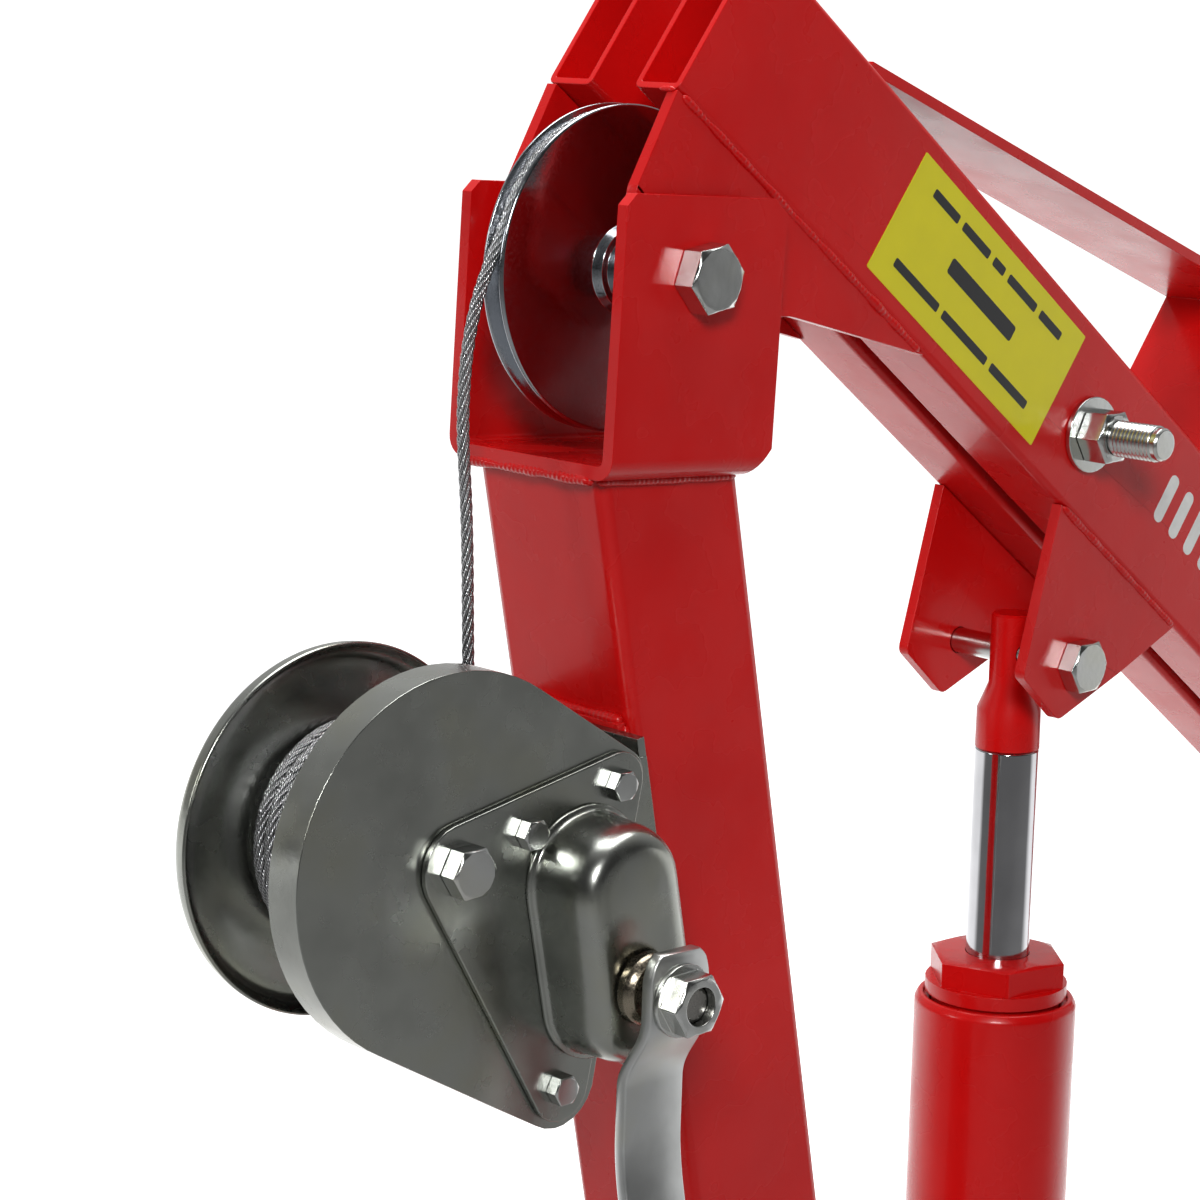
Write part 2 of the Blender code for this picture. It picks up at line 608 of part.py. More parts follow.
# boom tip: cheeks, axle and sheave
TC = rounded([(826, BOOM_BOT - GAP), (846, 6), (862, -8), (888, -8), (899, 10), (899, BOOM_BOT - GAP)], [0, 14, 8, 8, 6, 0], 4)
tip = []
for sgn in (-1, 1):
    y0, y1 = sorted((sgn * 14.0, sgn * 19.0))
    tip.append(solid_plate("cheek", TC, [circle(TIP[0], TIP[1], 6.0 + GAP, 24)], B, y0, y1, "red"))
tip.append(solid_plate("web", [(827.5, 42), (830.5, 42), (830.5, BOOM_BOT - GAP - 0.1), (827.5, BOOM_BOT - GAP - 0.1)], [], B,
                       -16, 16, "red"))
join("tip_bracket", tip, "red")
bolt("tip_axle", B(TIP[0], -19.3, TIP[1]), YM, 19, 8, 6.0, 44,
     tail=[(6.0, -38.9), (9.0, -38.9), (9.0, -43), (7.0, -44)])
prof = [(6.35, -13.6), (10, -13.6), (10.5, -6), (38, -6), (38, -5), (29.6, -2.4), (29.6, 2.4), (38, 5), (38, 6), (10.5, 6),
        (10, 13.6), (6.35, 13.6)]
turned("tip_sheave", B(TIP[0], 0, TIP[1]), YP, prof, "bright", 32, ring=True)

# ---------------------------------------------------------------- hand winch
dc = M(DRUM[0], 0, DRUM[1])
sc = M(SHAFT[0], 0, SHAFT[1])
CD = math.hypot(DRUM[0] - SHAFT[0], DRUM[1] - SHAFT[1])
RG, RP = CD * GEAR_N / (GEAR_N + PINION_N), CD * PINION_N / (GEAR_N + PINION_N)
AX_R = 8.0
# frame: web on the mounting plate, a flange each side
WF_Y0, WF_Y1 = -52.4, 36.0
web_u = -h - GAP - 4 - GAP
near = hull(circle(DRUM[0], DRUM[1], 20, 24) + circle(SHAFT[0], SHAFT[1] - 2, 26, 24)
            + [(web_u, -109), (web_u, -250), (web_u - 24, -250)])
far = hull(circle(DRUM[0], DRUM[1], 20, 24) + [(web_u, -100), (web_u, -250), (web_u - 30, -250)])
nearp = solid_plate("near", near, [circle(DRUM[0], DRUM[1], AX_R + GAP, 24), circle(SHAFT[0], SHAFT[1], 10.4, 24)],
                    M, WF_Y0, WF_Y0 + 3.4, "zinc")
farp = solid_plate("far", far, [circle(DRUM[0], DRUM[1], AX_R + GAP, 24)], M, WF_Y1 - 3.4, WF_Y1, "zinc")
web = solid_plate("web", [(web_u - 4, -100.2), (web_u, -100.2), (web_u, -249.8), (web_u - 4, -249.8)], [], M,
                  WF_Y0 + 0.2, WF_Y1 - 0.2, "zinc")
join("winch_frame", [nearp, farp, web], "zinc")

# gear cover: dished plate with a rim that is open towards the mast
CV0, CV1 = -55.2, -37.0
body = hull(circle(DRUM[0], DRUM[1], 80.6, 64) + circle(-119, -229, 21, 24) + circle(-62, -112, 12, 16))
CT = 1.8


def is_open(p):
    return (p[0] > -62.5 and p[1] < -104) or (p[0] > -114 and p[1] < -200)


m = len(body)
start = next(k for k in range(m) if is_open(body[k - 1]) and not is_open(body[k]))
body = body[start:] + body[:start]
keep = [p for p in body if not is_open(p)]
nk = len(keep)
inner = []
for k in range(nk):
    a_, b_ = Vector(body[k - 1]), Vector(body[(k + 1) % m])
    d = (b_ - a_).normalized()
    inner.append((body[k][0] - d.y * CT, body[k][1] + d.x * CT))
holes = [circle(DRUM[0], DRUM[1], AX_R + GAP, 24), circle(SHAFT[0], SHAFT[1], 10.4, 24)]
bm = bmesh.new()


def lay(points, y):
    return [bm.verts.new(world(M(u, y, v))) for u, v in points]


def fill(loops2, verts2):
    flat = [v for lp in verts2 for v in lp]
    for t in tessellate_polygon([[Vector((u, v, 0)) for u, v in lp] for lp in loops2]):
        bm.faces.new([flat[q] for q in t])


o0, o1, o2 = lay(body, CV0), lay(body, CV0 + CT), lay(keep, CV1)
i1, i2 = lay(inner, CV0 + CT), lay(inner, CV1)
h0, h1 = [lay(q, CV0) for q in holes], [lay(q, CV0 + CT) for q in holes]
fill([body] + holes, [o0] + h0)
fill([inner + body[nk - 1:] + body[:1]] + holes, [i1 + o1[nk - 1:] + o1[:1]] + h1)
skin(bm, o0, o1)
for a_, b_ in zip(h0, h1):
    skin(bm, a_, b_)
for k in range(nk - 1):
    bm.faces.new([o1[k], o1[k + 1], o2[k + 1], o2[k]])
    bm.faces.new([i1[k], i1[k + 1], i2[k + 1], i2[k]])
    bm.faces.new([o2[k], o2[k + 1], i2[k + 1], i2[k]])
bm.faces.new([o1[0], o2[0], i2[0], i1[0]])
bm.faces.new([o1[nk - 1], o2[nk - 1], i2[nk - 1], i1[nk - 1]])
finish("gear_cover", bm, "zinc", 30)

# triangular side plate over the cover
SP1 = CV0 - GAP
SP0 = SP1 - 3.0
tri = hull(circle(DRUM[0], DRUM[1], 19, 24) + circle(-66, -112, 13, 20) + circle(-120, -231, 15, 20))
b2, b3 = (-68.0, -112.0), (-122.0, -230.0)
b1 = (-119.0, -115.0)
solid_plate("winch_side_plate", tri, [circle(DRUM[0], DRUM[1], AX_R + GAP, 24), circle(SHAFT[0], SHAFT[1], 10.4, 24)],
            M, SP0, SP1, "zinc")
# drum axle: a long hex bolt from the near side, nut on the far side
bolt("drum_axle_bolt", M(DRUM[0], SP0 - GAP, DRUM[1]), YM, 20, 9, AX_R, WF_Y1 - SP0 + 22)
nut("drum_axle_nut", M(DRUM[0], WF_Y1 + GAP, DRUM[1]), YP, 20, 10, AX_R + GAP)
for k, (u, v) in enumerate((b1, b2, b3)):
    bolt("winch_bolt_%d" % (k + 1), M(u, SP0 - GAP, v), YM, 12, 6.0, 0.9, 0.2, tail=[(0.8, -0.15)], seg=18)

# drum: core, bell-shaped far flange with rolled lip, near flange
prof = [(AX_R + GAP, -36.0), (60, -36.0), (60, -32.5), (34, -31.5), (34, 21.5), (50, 23.0), (66, 27.5), (73.5, 28.0),
        (77.0, 25.0), (78.4, 20.5), (79.8, 20.8), (79.6, 26.5), (75.5, 30.6), (66, 30.2), (50, 26.0), (36, 24.5), (AX_R + GAP, 24.5)]
turned("winch_drum", dc, YP, prof, "zinc", 40, ring=True)
solid_plate("main_gear", gear_outline(DRUM, GEAR_N, RG, 2.0, 3.4, 0.0), [circle(DRUM[0], DRUM[1], AX_R + GAP, 24)],
            M, -46.0, -38.6 + 2.2, "steel")
turned("rope_coil", dc, YP, [(34.4, -30.8), (50.5, -29.0), (50.5, 20.0), (34.4, 21.0)], "rope", 48, ring=True)

# crank shaft with its pinion
ang = math.atan2(DRUM[1] - SHAFT[1], DRUM[0] - SHAFT[0])
# gear tooth centred on the line of centres needs a pinion gap there
g_phase = math.atan2(SHAFT[1] - DRUM[1], SHAFT[0] - DRUM[0])
off = (g_phase / (2 * math.pi / GEAR_N)) % 1.0
p_phase = ang + (0.5 + off) * (2 * math.pi / PINION_N)
pin = solid_plate("pinion", gear_outline(SHAFT, PINION_N, RP, 2.0, 3.2, p_phase), [], M, -46.4, -38.0, "steel")
shf = turned("shaft", sc, YP, [(6.0, -124), (7.8, -122.5), (7.8, -58), (9.8, -58), (9.8, -47), (7.8, -46), (7.8, -30), (7.0, -29)],
             "steel", 24)
join("crank_shaft", [shf, pin], "steel")

# brake housing: pressed oblong dome, open at the back, hole for the bush
DU, DV = -93.4, -169.4
NR = 36


def dome_loop(hw, hh, r, y, rad=None):
    """Rounded rectangle traced by rays from the shaft's axis, or a circle round the axis."""
    pts = []
    for k in range(NR):
        a = 2 * math.pi * k / NR
        ca, sa = math.cos(a), math.sin(a)
        if rad is not None:
            t = rad
        else:
            lo, hi = 1.0, 140.0
            for _ in range(30):
                t = (lo + hi) / 2
                qx, qy = abs(SHAFT[0] + t * ca - DU), abs(SHAFT[1] + t * sa - DV)
                dx, dy = max(qx - (hw - r), 0), max(qy - (hh - r), 0)
                if qx <= hw and qy <= hh and math.hypot(dx, dy) <= r:
                    lo = t
                else:
                    hi = t
        pts.append(M(SHAFT[0] + t * ca, y, SHAFT[1] + t * sa))
    return pts


y0 = SP0 - GAP
lps = [dome_loop(31.5, 55.5, 29.5, y0), dome_loop(31.5, 55.5, 29.5, y0 - 1.4), dome_loop(29.8, 53.8, 28, y0 - 1.8),
       dome_loop(28.8, 52.8, 27, y0 - 4), dome_loop(28.2, 52.2, 26.5, y0 - 18), dome_loop(27.2, 51.2, 25.5, y0 - 27),
       dome_loop(24.5, 48.5, 23, y0 - 31.5), dome_loop(20, 44, 18.5, y0 - 33.6), dome_loop(0, 0, 0, y0 - 33.8, 12.3),
       dome_loop(0, 0, 0, y0 - 32.3, 12.3), dome_loop(20, 44, 18.5, y0 - 32.1), dome_loop(23.6, 47.6, 22, y0 - 30.2),
       dome_loop(25.8, 49.8, 24, y0 - 26), dome_loop(26.8, 50.8, 25, y0 - 18), dome_loop(28.1, 52.1, 26.3, y0)]
bm = bmesh.new()
loft(bm, lps, closed=True)
finish("brake_housing", bm, "zinc", 50)
turned("brake_bush", sc, YM, [(8.1, -y0 + 28), (12.0, -y0 + 28), (12.0, -y0 + 35), (15.5, -y0 + 35), (15.5, -y0 + 39), (12.5, -y0 + 42.5),
                              (8.1, -y0 + 42.5)], "steel", 32, ring=True)
# ratchet wheel and pawl inside the housing
rt = []
for k in range(14):
    a = 2 * math.pi * k / 14
    for da, r in ((0.0, 14.5), (0.06, 18.8), (0.20, 18.0)):
        rt.append((SHAFT[0] + r * math.cos(a + da), SHAFT[1] + r * math.sin(a + da)))
solid_plate("ratchet_wheel", rt, [circle(SHAFT[0], SHAFT[1], 8.2, 24)], M, y0 - 14, y0 - 6, "steel")
PW = (-93.0, -144.0)
pawl = [(PW[0] + 6, PW[1] + 4), (PW[0] - 6, PW[1] + 5), (PW[0] - 8, PW[1] - 4), (SHAFT[0] - 9, SHAFT[1] + 19.4),
        (SHAFT[0] - 2.5, SHAFT[1] + 20.2), (PW[0] + 6, PW[1] - 6)]
solid_plate("brake_pawl", rounded(pawl, 1.2, 2), [], M, y0 - 13, y0 - 7, "steel")

# crank arm: flat bar with a double set, boss end on the shaft
AY = -112.0


def s_curve(t):
    return t * t * (3 - 2 * t)


def arm_y(l):
    if l < 8:
        return 0.0
    if l < 38:
        return 13.0 * s_curve((l - 8) / 30)
    if l < 60:
        return 13.0
    if l < 150:
        return 13.0 - 15.0 * s_curve((l - 60) / 90)
    return -2.0


ARM_A = 2.5
ARM_L, ARM_W, ARM_T = 215.0, 33.0, 6.0
AF_ = Frame(ARM_A, (sc[0], sc[2]))
ls = [-20, -16, -8, 0, 8, 14, 20, 26, 32, 38, 50, 60, 75, 90, 105, 120, 135, 150, 175, 200, 215, 225, 230]


def arm_half(l):
    if l < -8:
        return 14.0 if l > -18 else 11.0
    if l > 215:
        return ARM_W / 2 * math.sqrt(max(1 - ((l - 215) / 16.2) ** 2, 0.05))
    return ARM_W / 2


bm = bmesh.new()
lp = []
for l in ls:
    w, yy = arm_half(l), AY + arm_y(l)
    lp.append([AF_(-w, yy - ARM_T / 2, -l), AF_(w, yy - ARM_T / 2, -l), AF_(w, yy + ARM_T / 2, -l), AF_(-w, yy + ARM_T / 2, -l)])
loft(bm, lp)
arm = finish("crank_arm", bm, "zinc", 40)
ahole = turned("cutter", sc, YP, [(7.8 + GAP, AY - 20), (7.8 + GAP, AY + 20)], "zinc", 24)
gp = AF_(0, 0, -ARM_L)
cut(arm, [ahole], "crank_arm")
axle = turned("axle", (gp[0], AY - 2.0, gp[2]), YM, [(5.0, -1.0), (5.0, 114.5), (9.0, 114.5), (9.0, 117.5), (7.5, 119)], "zinc", 24)
join("crank_arm", [arm, axle], "zinc", 40)
nut("crank_nut", (sc[0], AY - ARM_T / 2 - GAP, sc[2]), YM, 24, 12, 7.8 + GAP, flange=15.5, ft=2.2)
ga = AY - 2.0
gr = [(5.4, 5.0), (11, 5.0), (13.5, 8), (13.0, 30), (14.5, 60), (14.0, 95), (12.0, 106), (8.5, 110), (5.4, 110)]
turned("crank_grip", (gp[0], ga, gp[2]), YM, gr, "black", 28, ring=True)

# ---------------------------------------------------------------- hydraulic ram
def rp(w):
    return R(0, 0, w)


RAX = tuple(Vector(R(0, 0, 1)) - Vector(R(0, 0, 0)))
rod = turned("ram_rod", rp(0), RAX, [(ROD_R - 1, -49.1), (ROD_R, -50), (ROD_R, -465), (32.2, -466), (32.2, -486), (ROD_R, -487)], "bright", 40)
end_ = turned("ram_rod_end", rp(0), RAX, [(9.5, 19.6), (10.8, 18.4), (10.8, -16), (ROD_R, -29), (ROD_R + 0.2, -48.8)], "red", 40)
eh = turned("cutter", rp(0), YP, [(6.5 + 0.35, -40), (6.5 + 0.35, 40)], "red", 24)
cut(end_, [eh], "ram_rod_end")
bm = bmesh.new()
g0 = mk(bm, hexloop(rp(0), RAX, 62, -157.5, 0.35))
g1 = mk(bm, hexloop(rp(0), RAX, 62, -170.0, 0.35))
b0 = mk(bm, ring_pts(rp(0), RAX, ROD_R + GAP, -156.0, 36, 0.35))
t0 = mk(bm, ring_pts(rp(0), RAX, 29.5, -156.0, 36, 0.35))
f1 = mk(bm, ring_pts(rp(0), RAX, 36.0, -170.0, 36, 0.35))
f2 = mk(bm, ring_pts(rp(0), RAX, 36.0, -177.0, 36, 0.35))
f3 = mk(bm, ring_pts(rp(0), RAX, 32.6, -177.0, 36, 0.35))
f4 = mk(bm, ring_pts(rp(0), RAX, 32.6, -200.0, 36, 0.35))
f5 = mk(bm, ring_pts(rp(0), RAX, ROD_R + GAP, -200.0, 36, 0.35))
skin(bm, b0, t0)
hexround(bm, g0, t0)
skin(bm, g0, g1)
hexround(bm, g1, f1)
for a_, b_ in ((f1, f2), (f2, f3), (f3, f4), (f4, f5), (f5, b0)):
    skin(bm, a_, b_)
finish("gland_nut", bm, "red", 28)
cyl = [(36.5, -178.0), (39.5, -178.0), (CYL_R, -180.5), (CYL_R, -186), (CYL_R, -636), (33.0, -636), (33.0, -182), (36.5, -181)]
turned("ram_cylinder", rp(0), RAX, cyl, "red", 48, ring=True)
# base block with its slotted foot lug and the pump's own block
blk = [(-46, -636.4), (46, -636.4), (46, -654), (-46, -654)]
bb = solid_plate("block", blk, [], R, -42, 42, "red")
lug_o = rounded([(-44, -650), (44, -650), (44, -712), (-44, -712)], [0, 0, 16, 16], 4)
sl_o = rounded([(-31, -RAM_LEN + 14), (31, -RAM_LEN + 14), (31, -RAM_LEN - 14), (-31, -RAM_LEN - 14)], 10, 4)
lug = solid_plate("lug", lug_o, [sl_o], R, -15, 15, "red")
pump = turned("pump", R(62, 0, 0), RAX, [(17, -652), (17, -600), (13, -597), (13, -584), (6, -583), (6, -567)], "red", 28)
pb = solid_plate("pb", [(40, -637), (80, -637), (80, -653), (40, -653)], [], R, -22, 22, "red")
base = join("ram_pump_base", [bb, lug, pb, pump], "red")
# lever socket: tube held by a fork over the plunger, pivoting on the far side of the pump
sock = turned("sock", R(62, 0, -543), tuple(Vector(R(1, 0, 0.35)) - Vector(R(0, 0, 0))), [(13, -13), (13, 62), (10, 62), (10, -13)],
              "red", 24, ring=True)
tab = solid_plate("tab", [(76, -556), (92, -556), (92, -528), (76, -532)], [], R, -4, 4, "red")
join("pump_lever_socket", [sock, tab], "red")
turned("release_valve", R(20, -42.3, -645), YM, [(5, 0), (5, 6), (9, 6), (9, 16), (8, 17)], "zinc", 20)

# ---------------------------------------------------------------- wire rope
front = M(0, 0, 0)
drum_x = dc[0] + 50.5 + 0.5
RX = dc[0] + 50.5 + ROPE_R + 0.3
A_OFF = 158.0
pts = [(RX, 0, dc[2] + 4), (RX, 0, -150), (RX + 0.2, 0, -100), (-86.5, 0, -62), (-85.4, 0, -42), (-82.8, 0, -24), (-77.6, 0, -6.5), (-70.4, 0, 8.0)]
for k in range(26):
    a = math.radians(A_OFF - (A_OFF - (90 - BOOM_PITCH) - 0.6) * k / 25)
    pts.append((ROPE_LINE_R * math.cos(a), 0, ROPE_LINE_R * math.sin(a)))
sweep("rope_riser", pts, ROPE_R, "rope")
sweep("rope_boom_run", [B(0.4, 0, ROPE_LINE_R), B(300, 0, ROPE_LINE_R), B(600, 0, ROPE_LINE_R), B(TIP[0] - 3.8, 0, ROPE_LINE_R)], ROPE_R, "rope")
tx, _, tz = B(TIP[0], 0, TIP[1])
pts = []
for k in range(15):
    a = math.radians((90 - BOOM_PITCH - 0.6) * (1 - k / 14))
    pts.append((tx + TIP_LINE_R * math.cos(a), 0, tz + TIP_LINE_R * math.sin(a)))
sweep("rope_tip_arc", pts, ROPE_R, "rope")
hx = tx + TIP_LINE_R
DROP = 420.0
sweep("rope_drop", [(hx, 0, tz - 0.3), (hx, 0, tz - DROP)], ROPE_R, "rope")

# ---------------------------------------------------------------- hook
z1 = tz - DROP - GAP
turned("hook_swivel", (hx, 0, z1), UP, [(4.5, 0), (6.5, -2), (6.5, -32), (9, -34), (13, -40), (14, -50), (13, -60), (9, -64)],
       "zinc", 28)
zh = z1 - 64 - GAP
HR, HC = 24.0, zh - 46
path = [Vector((hx, 0, zh)), Vector((hx, 0, zh - 8)), Vector((hx, 0, zh - 15))]
for k in range(22):
    a = math.radians(85 - 285 * k / 21)
    path.append(Vector((hx - 2 + HR * math.cos(a), 0, HC + HR * math.sin(a))))
loops, up, m = [], Vector((0, 1, 0)), len(path)
for i, p in enumerate(path):
    t = (path[min(i + 1, m - 1)] - path[max(i - 1, 0)]).normalized()
    e2 = t.cross(up)
    f = i / (m - 1)
    rr = 6.5 + 3.0 * math.sin(math.pi * min(f * 1.05, 1.0)) - (2.8 * max(f - 0.8, 0) / 0.2)
    loops.append([p + (up * math.cos(2 * math.pi * k / 14) + e2 * math.sin(2 * math.pi * k / 14)) * rr for k in range(14)])
bm = bmesh.new()
loft(bm, loops)
finish("hook", bm, "red", 60)
LP = (hx - 11.0, zh - 17.5)
la = turned("eye", (LP[0], 0, LP[1]), YP, [(3.0, -6), (3.0, 6)], "zinc", 16)
F0 = Frame(0)
lb = solid_plate("strip", [(LP[0] - 2, LP[1]), (LP[0] + 2, LP[1]), (hx - 15.2, zh - 38), (hx - 18.2, zh - 38)], [], F0, -5, 5, "zinc")
join("hook_latch", [la, lb], "zinc", 30)
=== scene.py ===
import math

import bmesh
import bpy
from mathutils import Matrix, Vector, noise

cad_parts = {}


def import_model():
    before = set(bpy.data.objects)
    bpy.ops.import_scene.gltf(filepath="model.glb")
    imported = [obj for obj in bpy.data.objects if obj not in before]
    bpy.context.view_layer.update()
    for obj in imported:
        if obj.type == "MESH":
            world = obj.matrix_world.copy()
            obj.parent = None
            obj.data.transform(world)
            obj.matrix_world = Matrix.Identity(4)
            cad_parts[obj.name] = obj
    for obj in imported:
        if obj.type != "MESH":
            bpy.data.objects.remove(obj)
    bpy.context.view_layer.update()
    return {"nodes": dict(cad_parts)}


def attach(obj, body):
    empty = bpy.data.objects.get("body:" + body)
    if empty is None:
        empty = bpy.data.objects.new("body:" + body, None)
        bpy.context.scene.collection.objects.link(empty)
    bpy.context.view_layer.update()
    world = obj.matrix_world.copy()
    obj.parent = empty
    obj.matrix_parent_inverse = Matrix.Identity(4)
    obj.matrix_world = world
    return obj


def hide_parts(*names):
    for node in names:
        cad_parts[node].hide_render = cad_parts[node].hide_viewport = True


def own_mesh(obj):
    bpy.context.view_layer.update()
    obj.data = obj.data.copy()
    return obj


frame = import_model()

BASE_X, BASE_Z = 137.0, -1180.0      # base plate's underside centre, in millimetres from the boom's pivot


def world(p):
    """Millimetres from the boom's pivot -> metres in the row frame."""
    return Vector(((p[0] - BASE_X) * 0.001, p[1] * 0.001, (p[2] - BASE_Z) * 0.001))


class Frame:
    """Axes of one tilted member: u along it, y across, v upwards, in millimetres round the boom's pivot."""

    def __init__(self, deg, origin=(0.0, 0.0)):
        self.c, self.s, self.o = math.cos(math.radians(deg)), math.sin(math.radians(deg)), origin

    def __call__(self, u, y, v):
        return (self.o[0] + u * self.c + v * self.s, y, self.o[1] - u * self.s + v * self.c)


B = Frame(38.5)
K = Frame(4.7)
M = Frame(-9.47, (-4.3, -85.4))
pin = B(343.0, 0.0, 4.0)
R = Frame(1.74, (pin[0], pin[2]))
YP, YM = (0, 1, 0), (0, -1, 0)
RAX = tuple(Vector(R(0, 0, 1)) - Vector(R(0, 0, 0)))


# ------------------------------------------------------------------ materials
def material(name, colour, metallic, rough, coat=0.0):
    m = bpy.data.materials.new(name)
    m.use_nodes = True
    b = m.node_tree.nodes["Principled BSDF"]
    b.inputs["Base Color"].default_value = (*colour, 1)
    b.inputs["Metallic"].default_value = metallic
    b.inputs["Roughness"].default_value = rough
    if coat:
        b.inputs["Specular IOR Level"].default_value = 0.3
        b.inputs["Coat Weight"].default_value = coat
        b.inputs["Coat Roughness"].default_value = 0.04
    return m, m.node_tree, b


def coords(t, scale=(1, 1, 1), uv=False):
    c = t.nodes.new("ShaderNodeTexCoord")
    mp = t.nodes.new("ShaderNodeMapping")
    mp.inputs["Scale"].default_value = scale
    t.links.new(c.outputs["UV" if uv else "Object"], mp.inputs["Vector"])
    return mp.outputs["Vector"]


def noise_tex(t, vec, scale, detail=3.0, rough=0.5):
    n = t.nodes.new("ShaderNodeTexNoise")
    n.inputs["Scale"].default_value = scale
    n.inputs["Detail"].default_value = detail
    n.inputs["Roughness"].default_value = rough
    t.links.new(vec, n.inputs["Vector"])
    return n.outputs["Fac"]


def ramp(t, fac, stops):
    r = t.nodes.new("ShaderNodeValToRGB")
    e = r.color_ramp.elements
    while len(e) < len(stops):
        e.new(0.5)
    for el, (pos, col) in zip(e, stops):
        el.position = pos
        el.color = (*col, 1) if len(col) == 3 else col
    t.links.new(fac, r.inputs["Fac"])
    return r.outputs["Color"]


def remap(t, fac, a, b, lo, hi):
    r = t.nodes.new("ShaderNodeMapRange")
    for k, v in zip(("From Min", "From Max", "To Min", "To Max"), (a, b, lo, hi)):
        r.inputs[k].default_value = v
    t.links.new(fac, r.inputs["Value"])
    return r.outputs["Result"]


def bump(t, b, h, strength, dist):
    n = t.nodes.new("ShaderNodeBump")
    n.inputs["Strength"].default_value = strength
    n.inputs["Distance"].default_value = dist
    t.links.new(h, n.inputs["Height"])
    t.links.new(n.outputs["Normal"], b.inputs["Normal"])
    return n


def red_paint():
    m, t, b = material("red_gloss_paint", (0.56, 0.004, 0.004), 0.0, 0.3, 0.14)
    v = coords(t)
    big = noise_tex(t, v, 9.0, 4.0)
    col = ramp(t, big, [(0.3, (0.52, 0.0025, 0.003)), (0.55, (0.60, 0.004, 0.004)),
                        (0.8, (0.66, 0.006, 0.006))])
    t.links.new(col, b.inputs["Base Color"])
    t.links.new(remap(t, noise_tex(t, v, 30.0, 3.0), 0.3, 0.7, 0.2, 0.34), b.inputs["Roughness"])
    peel = noise_tex(t, v, 420.0, 2.0)
    wave = noise_tex(t, v, 55.0, 2.0)
    add = t.nodes.new("ShaderNodeMath")
    add.operation = "MULTIPLY_ADD"
    add.inputs[1].default_value = 0.25
    t.links.new(peel, add.inputs[0])
    t.links.new(wave, add.inputs[2])
    bump(t, b, add.outputs[0], 0.3, 0.0006)
    return m


def zinc(name, light, rough, tint=(0.97, 1.0, 0.93)):
    c = tuple(light * q for q in tint)
    m, t, b = material(name, c, 1.0, rough)
    v = coords(t)
    big = noise_tex(t, v, 26.0, 5.0)
    dark = tuple(q * 0.80 for q in c)
    warm = (c[0] * 0.98, c[1] * 0.96, c[2] * 0.86)
    t.links.new(ramp(t, big, [(0.28, dark), (0.5, c), (0.75, warm)]), b.inputs["Base Color"])
    t.links.new(remap(t, noise_tex(t, v, 70.0, 4.0), 0.3, 0.7, rough * 0.85, rough * 1.2),
                b.inputs["Roughness"])
    bump(t, b, noise_tex(t, v, 300.0, 3.0), 0.12, 0.0003)
    return m


def turned_metal(name, colour, rough, squash=(1, 1, 1), fine=900.0, strength=0.15):
    m, t, b = material(name, colour, 1.0, rough)
    v = coords(t, squash)
    lines = noise_tex(t, v, fine, 2.0)
    t.links.new(remap(t, lines, 0.3, 0.7, rough * 0.7, rough * 1.4), b.inputs["Roughness"])
    stops = [(0.3, tuple(q * 0.85 for q in colour)), (0.7, colour)]
    t.links.new(ramp(t, noise_tex(t, coords(t), 40.0, 3.0), stops), b.inputs["Base Color"])
    bump(t, b, lines, strength, 0.0002)
    return m


def rope_wire():
    m, t, b = material("galvanised_wire", (0.50, 0.50, 0.51), 1.0, 0.3)
    v = coords(t, (1, 1, 1), True)
    w = t.nodes.new("ShaderNodeTexWave")
    w.wave_type, w.bands_direction = "BANDS", "DIAGONAL"
    w.inputs["Scale"].default_value = 1.0
    w.inputs["Distortion"].default_value = 0.4
    t.links.new(v, w.inputs["Vector"])
    # the dark bands are painted shade in the grooves between the wires, the light bands a painted highlight on the
    # wire crowns
    stops = [(0.0, (0.07, 0.07, 0.075)), (0.35, (0.38, 0.38, 0.39)), (1.0, (0.62, 0.62, 0.63))]
    t.links.new(ramp(t, w.outputs["Fac"], stops), b.inputs["Base Color"])
    bump(t, b, w.outputs["Fac"], 0.9, 0.0002)
    t.links.new(remap(t, noise_tex(t, coords(t), 200.0), 0.3, 0.7, 0.25, 0.45), b.inputs["Roughness"])
    return m


def plain(name, colour, rough, metallic=0.0, fleck=0.15, scale=160.0):
    m, t, b = material(name, colour, metallic, rough)
    v = coords(t)
    n = noise_tex(t, v, scale, 4.0)
    stops = [(0.3, tuple(q * (1 - fleck) for q in colour)), (0.7, colour)]
    t.links.new(ramp(t, n, stops), b.inputs["Base Color"])
    t.links.new(remap(t, n, 0.3, 0.7, rough * 0.9, min(rough * 1.15, 1)), b.inputs["Roughness"])
    bump(t, b, n, 0.1, 0.0002)
    return m


RED = red_paint()
ZINC = zinc("zinc_sheet", 0.36, 0.25)
BOLTZ = zinc("zinc_bolts", 0.62, 0.2, (0.98, 1.0, 0.98))
ARMZ = zinc("zinc_arm", 0.58, 0.34, (0.98, 1.0, 0.99))
SHEAVE = turned_metal("turned_steel", (0.42, 0.44, 0.47), 0.16)
CHROME = turned_metal("chromed_rod", (0.60, 0.60, 0.62), 0.09, (1, 1, 0.05), 700.0, 0.08)
STEEL = turned_metal("oiled_steel", (0.30, 0.29, 0.27), 0.3)
BRASSY = turned_metal("oiled_bronze", (0.30, 0.26, 0.20), 0.24)
WIRE = rope_wire()
BLACK = plain("black_grip_rubber", (0.02, 0.02, 0.021), 0.55, 0.0, 0.3)
YELLOW = plain("label_yellow", (0.72, 0.64, 0.005), 0.32, 0.0, 0.05, 60.0)
INK = plain("label_black_ink", (0.016, 0.016, 0.018), 0.35, 0.0, 0.2)
WHITE = plain("white_stencil_paint", (0.80, 0.80, 0.78), 0.4, 0.0, 0.12)


